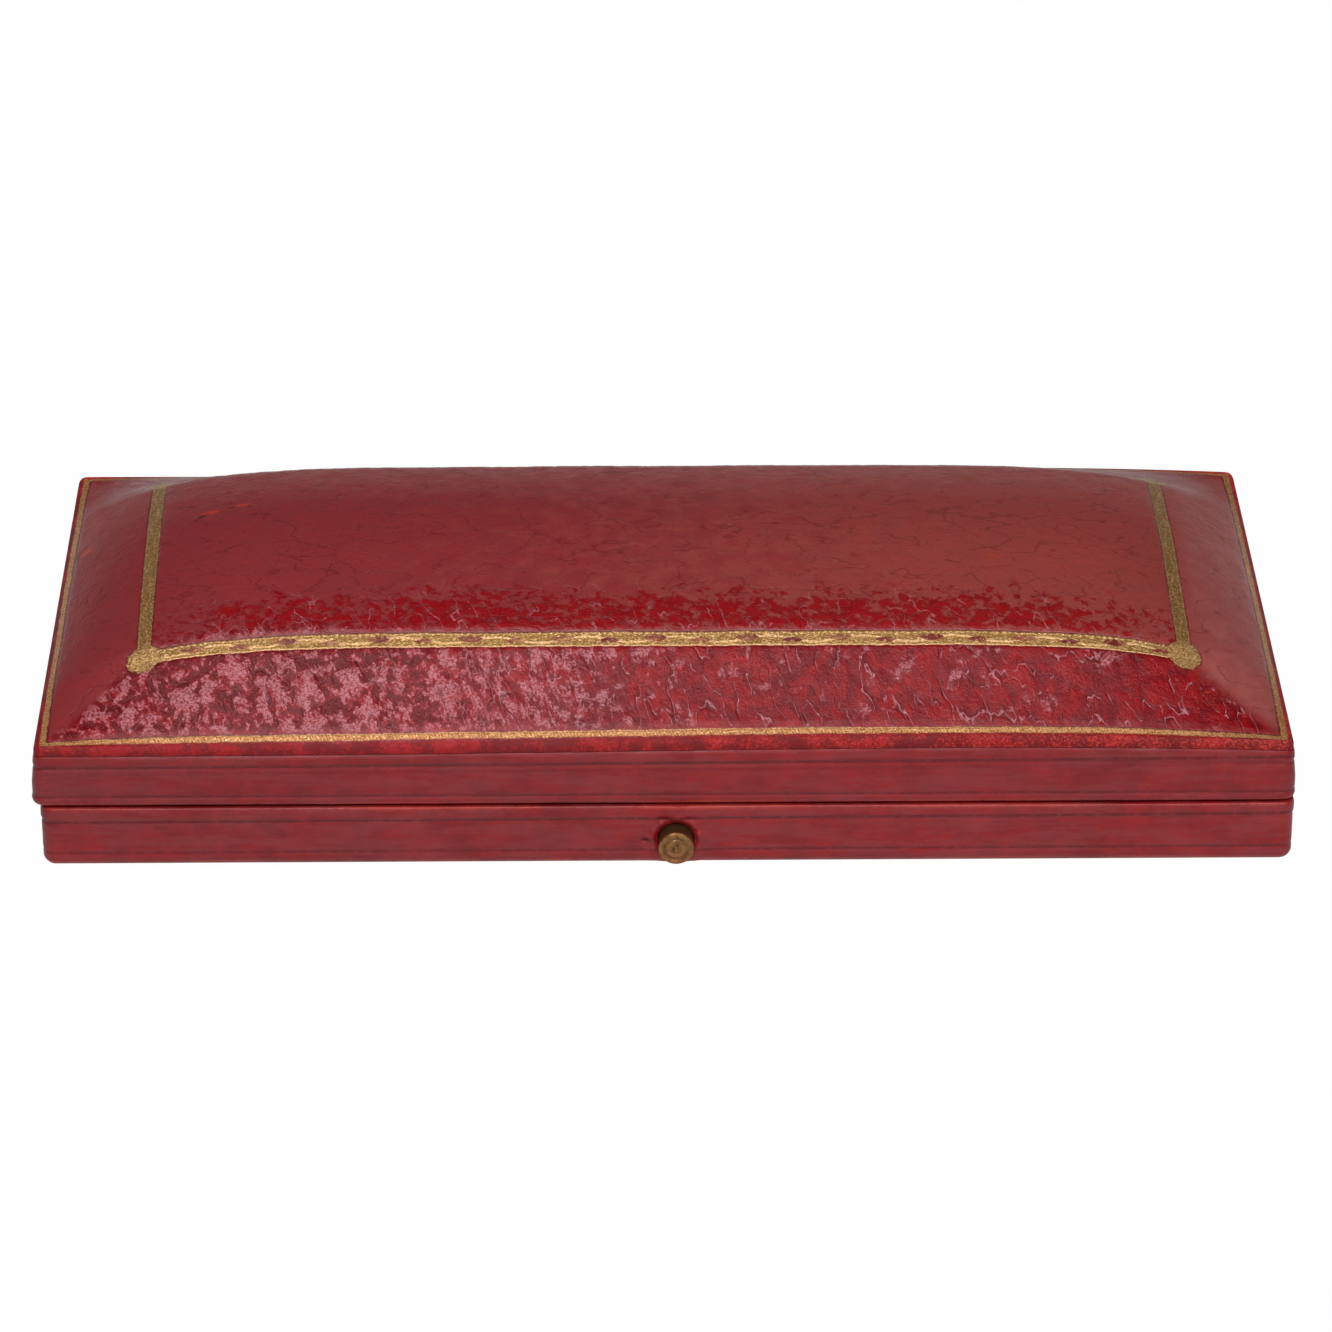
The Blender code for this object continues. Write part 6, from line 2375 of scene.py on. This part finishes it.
class Studio:
    """The camera at the photograph's place, the pale floor and the soft lights."""

    yaw_degrees: float = 0.89
    pitch_degrees: float = 28.5
    roll_degrees: float = 0.16
    target: tuple = (0.205 * MM, 0.0, 6.43 * MM)
    distance: float = 0.610
    lens: float = 152.05
    floor_grey: tuple = (0.62, 0.62, 0.62)
    floor_white: float = 0.985
    floor_mirrored: float = 0.5
    lamps: tuple = (
        Lamp(
            "overhead_box", (-0.14, -0.10, 0.42), (-0.06, -0.02, 0.0), (0.24, 0.16), 0.85, (1.0, 0.98, 0.98)
        ),
        Lamp("high_front", (0.10, -0.42, 0.50), (0, 0, 0.01), (0.50, 0.30), 3.15),
        Lamp("front_fill", (0.00, -0.80, 0.22), (0, 0, 0.01), (0.80, 0.30), 1.12),
    )

    def camera(self) -> Piece:
        """The camera, level with the photograph's.

        Returns:
            The camera.
        """
        yaw, pitch, roll = (
            math.radians(value) for value in (self.yaw_degrees, self.pitch_degrees, self.roll_degrees)
        )
        forward = Vector((math.sin(yaw) * math.cos(pitch), math.cos(yaw) * math.cos(pitch), -math.sin(pitch)))
        level = Vector((math.cos(yaw), -math.sin(yaw), 0))
        upward = level.cross(forward)
        right = level * math.cos(roll) + upward * math.sin(roll)
        top = upward * math.cos(roll) - level * math.sin(roll)
        data = bpy.data.cameras.new("view")
        data.lens = self.lens
        data.sensor_width = 36
        data.clip_start = 0.01
        made = bpy.data.objects.new("view", data)
        turn = Matrix((right, top, -forward)).transposed().to_4x4()
        made.matrix_world = Matrix.Translation(Vector(self.target) - forward * self.distance) @ turn
        bpy.context.scene.collection.objects.link(made)
        bpy.context.scene.camera = made
        return made

    def floor(self) -> Piece:
        """A pale floor that keeps the case's shadow and fades into the white ground.

        Returns:
            The floor.
        """
        material = bpy.data.materials.new("pale_floor")
        material.use_nodes = True
        graph = Graph(material.node_tree)
        material.node_tree.nodes.remove(material.node_tree.nodes["Principled BSDF"])
        matt = graph.node("ShaderNodeBsdfDiffuse")
        graph.feed(matt.inputs["Color"], self.floor_grey)
        glow = graph.node("ShaderNodeEmission")
        graph.feed(glow.inputs["Color"], (1.0, 1.0, 1.0))
        rays = graph.outputs(graph.node("ShaderNodeLightPath"))
        mirrored = graph.most(rays["Is Glossy Ray"], rays["Is Transmission Ray"]) * self.floor_mirrored
        both = graph.node("ShaderNodeMixShader")
        graph.feed(both.inputs[0], graph.most(rays["Is Camera Ray"] * self.floor_white, mirrored))
        for socket, shader in zip(both.inputs[1:], (matt, glow)):
            graph.feed(socket, Signal(graph, shader.outputs[0]))
        graph.fill(material.node_tree.nodes["Material Output"], Surface=graph.outputs(both)["Shader"])
        made = bmesh.new()
        bmesh.ops.create_grid(made, x_segments=1, y_segments=1, size=4)
        bmesh.ops.translate(made, verts=made.verts[:], vec=(0, 0, -0.02 * MM))
        floor = finished("floor", made, material)
        return floor

    def hang(self, lamp: Lamp) -> None:
        """Hangs a lamp and points it.

        Args:
            lamp: what is hung, and where.
        """
        data = bpy.data.lights.new(lamp.name, "AREA")
        data.shape = "RECTANGLE"
        data.size, data.size_y = lamp.size
        data.energy = lamp.watts
        data.color = lamp.colour
        made = bpy.data.objects.new(lamp.name, data)
        made.location = lamp.place
        made.rotation_euler = (Vector(lamp.aim) - Vector(lamp.place)).to_track_quat("-Z", "Y").to_euler()
        bpy.context.scene.collection.objects.link(made)

    def sky(self) -> None:
        """An even world: white where the camera sees it, brighter low down than overhead."""
        world = bpy.data.worlds.new("studio")
        bpy.context.scene.world = world
        world.use_nodes = True
        graph = Graph(world.node_tree)
        ground = world.node_tree.nodes["Background"]
        _, _, up = graph.axes(graph.outputs(graph.node("ShaderNodeTexCoord"))["Generated"])
        level = graph.ramp(up, 0.45, 0.85, 0.44, 0.08)
        seen = graph.outputs(graph.node("ShaderNodeLightPath"))["Is Camera Ray"]
        graph.feed(ground.inputs["Strength"], graph.between(seen, level, 1.0))

    def build(self) -> None:
        """Sets up the whole studio."""
        scene = bpy.context.scene
        scene.view_settings.view_transform = "Standard"
        self.camera()
        self.floor()
        self.sky()
        for lamp in self.lamps:
            self.hang(lamp)


def dress_nodes(palette: Palette) -> None:
    """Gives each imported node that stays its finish, by its slot in the record.

    Args:
        palette: the colours of the photo.
    """
    plain = PlainFinishes()
    brass = BrassFinish()
    by_slot = {
        "limewood": plain.wood(palette),
        "card": plain.card(palette),
        "spring_steel": plain.steel(palette),
        "brass": brass.material(palette, "old_brass", brass.tarnish_share),
        "bottom_leather": LeatherFinish().bottom(palette),
    }
    for row in frame["record"]["subparts"]:
        node = frame["nodes"].get(row["node"])
        finish = by_slot.get(row["material_slot"])
        if node is None or finish is None or node.hide_render:
            continue
        node.data.materials.clear()
        node.data.materials.append(finish)
        LOG.info("packed node %s: %s", node.name, finish.name)


def main() -> None:
    """Builds the case's pieces in order and reports each."""
    logging.basicConfig(level=logging.INFO, format="%(name)s: %(message)s")
    palette = Palette()
    interior = Interior(palette)
    walls = LeatherWalls(palette)
    steps = (
        LidTop(palette).build,
        walls.build_lid,
        walls.build_base,
        Latch(palette).build,
        interior.build_bed,
        interior.build_lid_pad,
        interior.build_strips,
    )
    for step in steps:
        made = step()
        for piece in made if isinstance(made, list) else [made]:
            LOG.info("%s: %d faces", piece.name, len(piece.data.polygons))
    dress_nodes(palette)
    Studio().build()


if __name__ == "__main__":
    main()
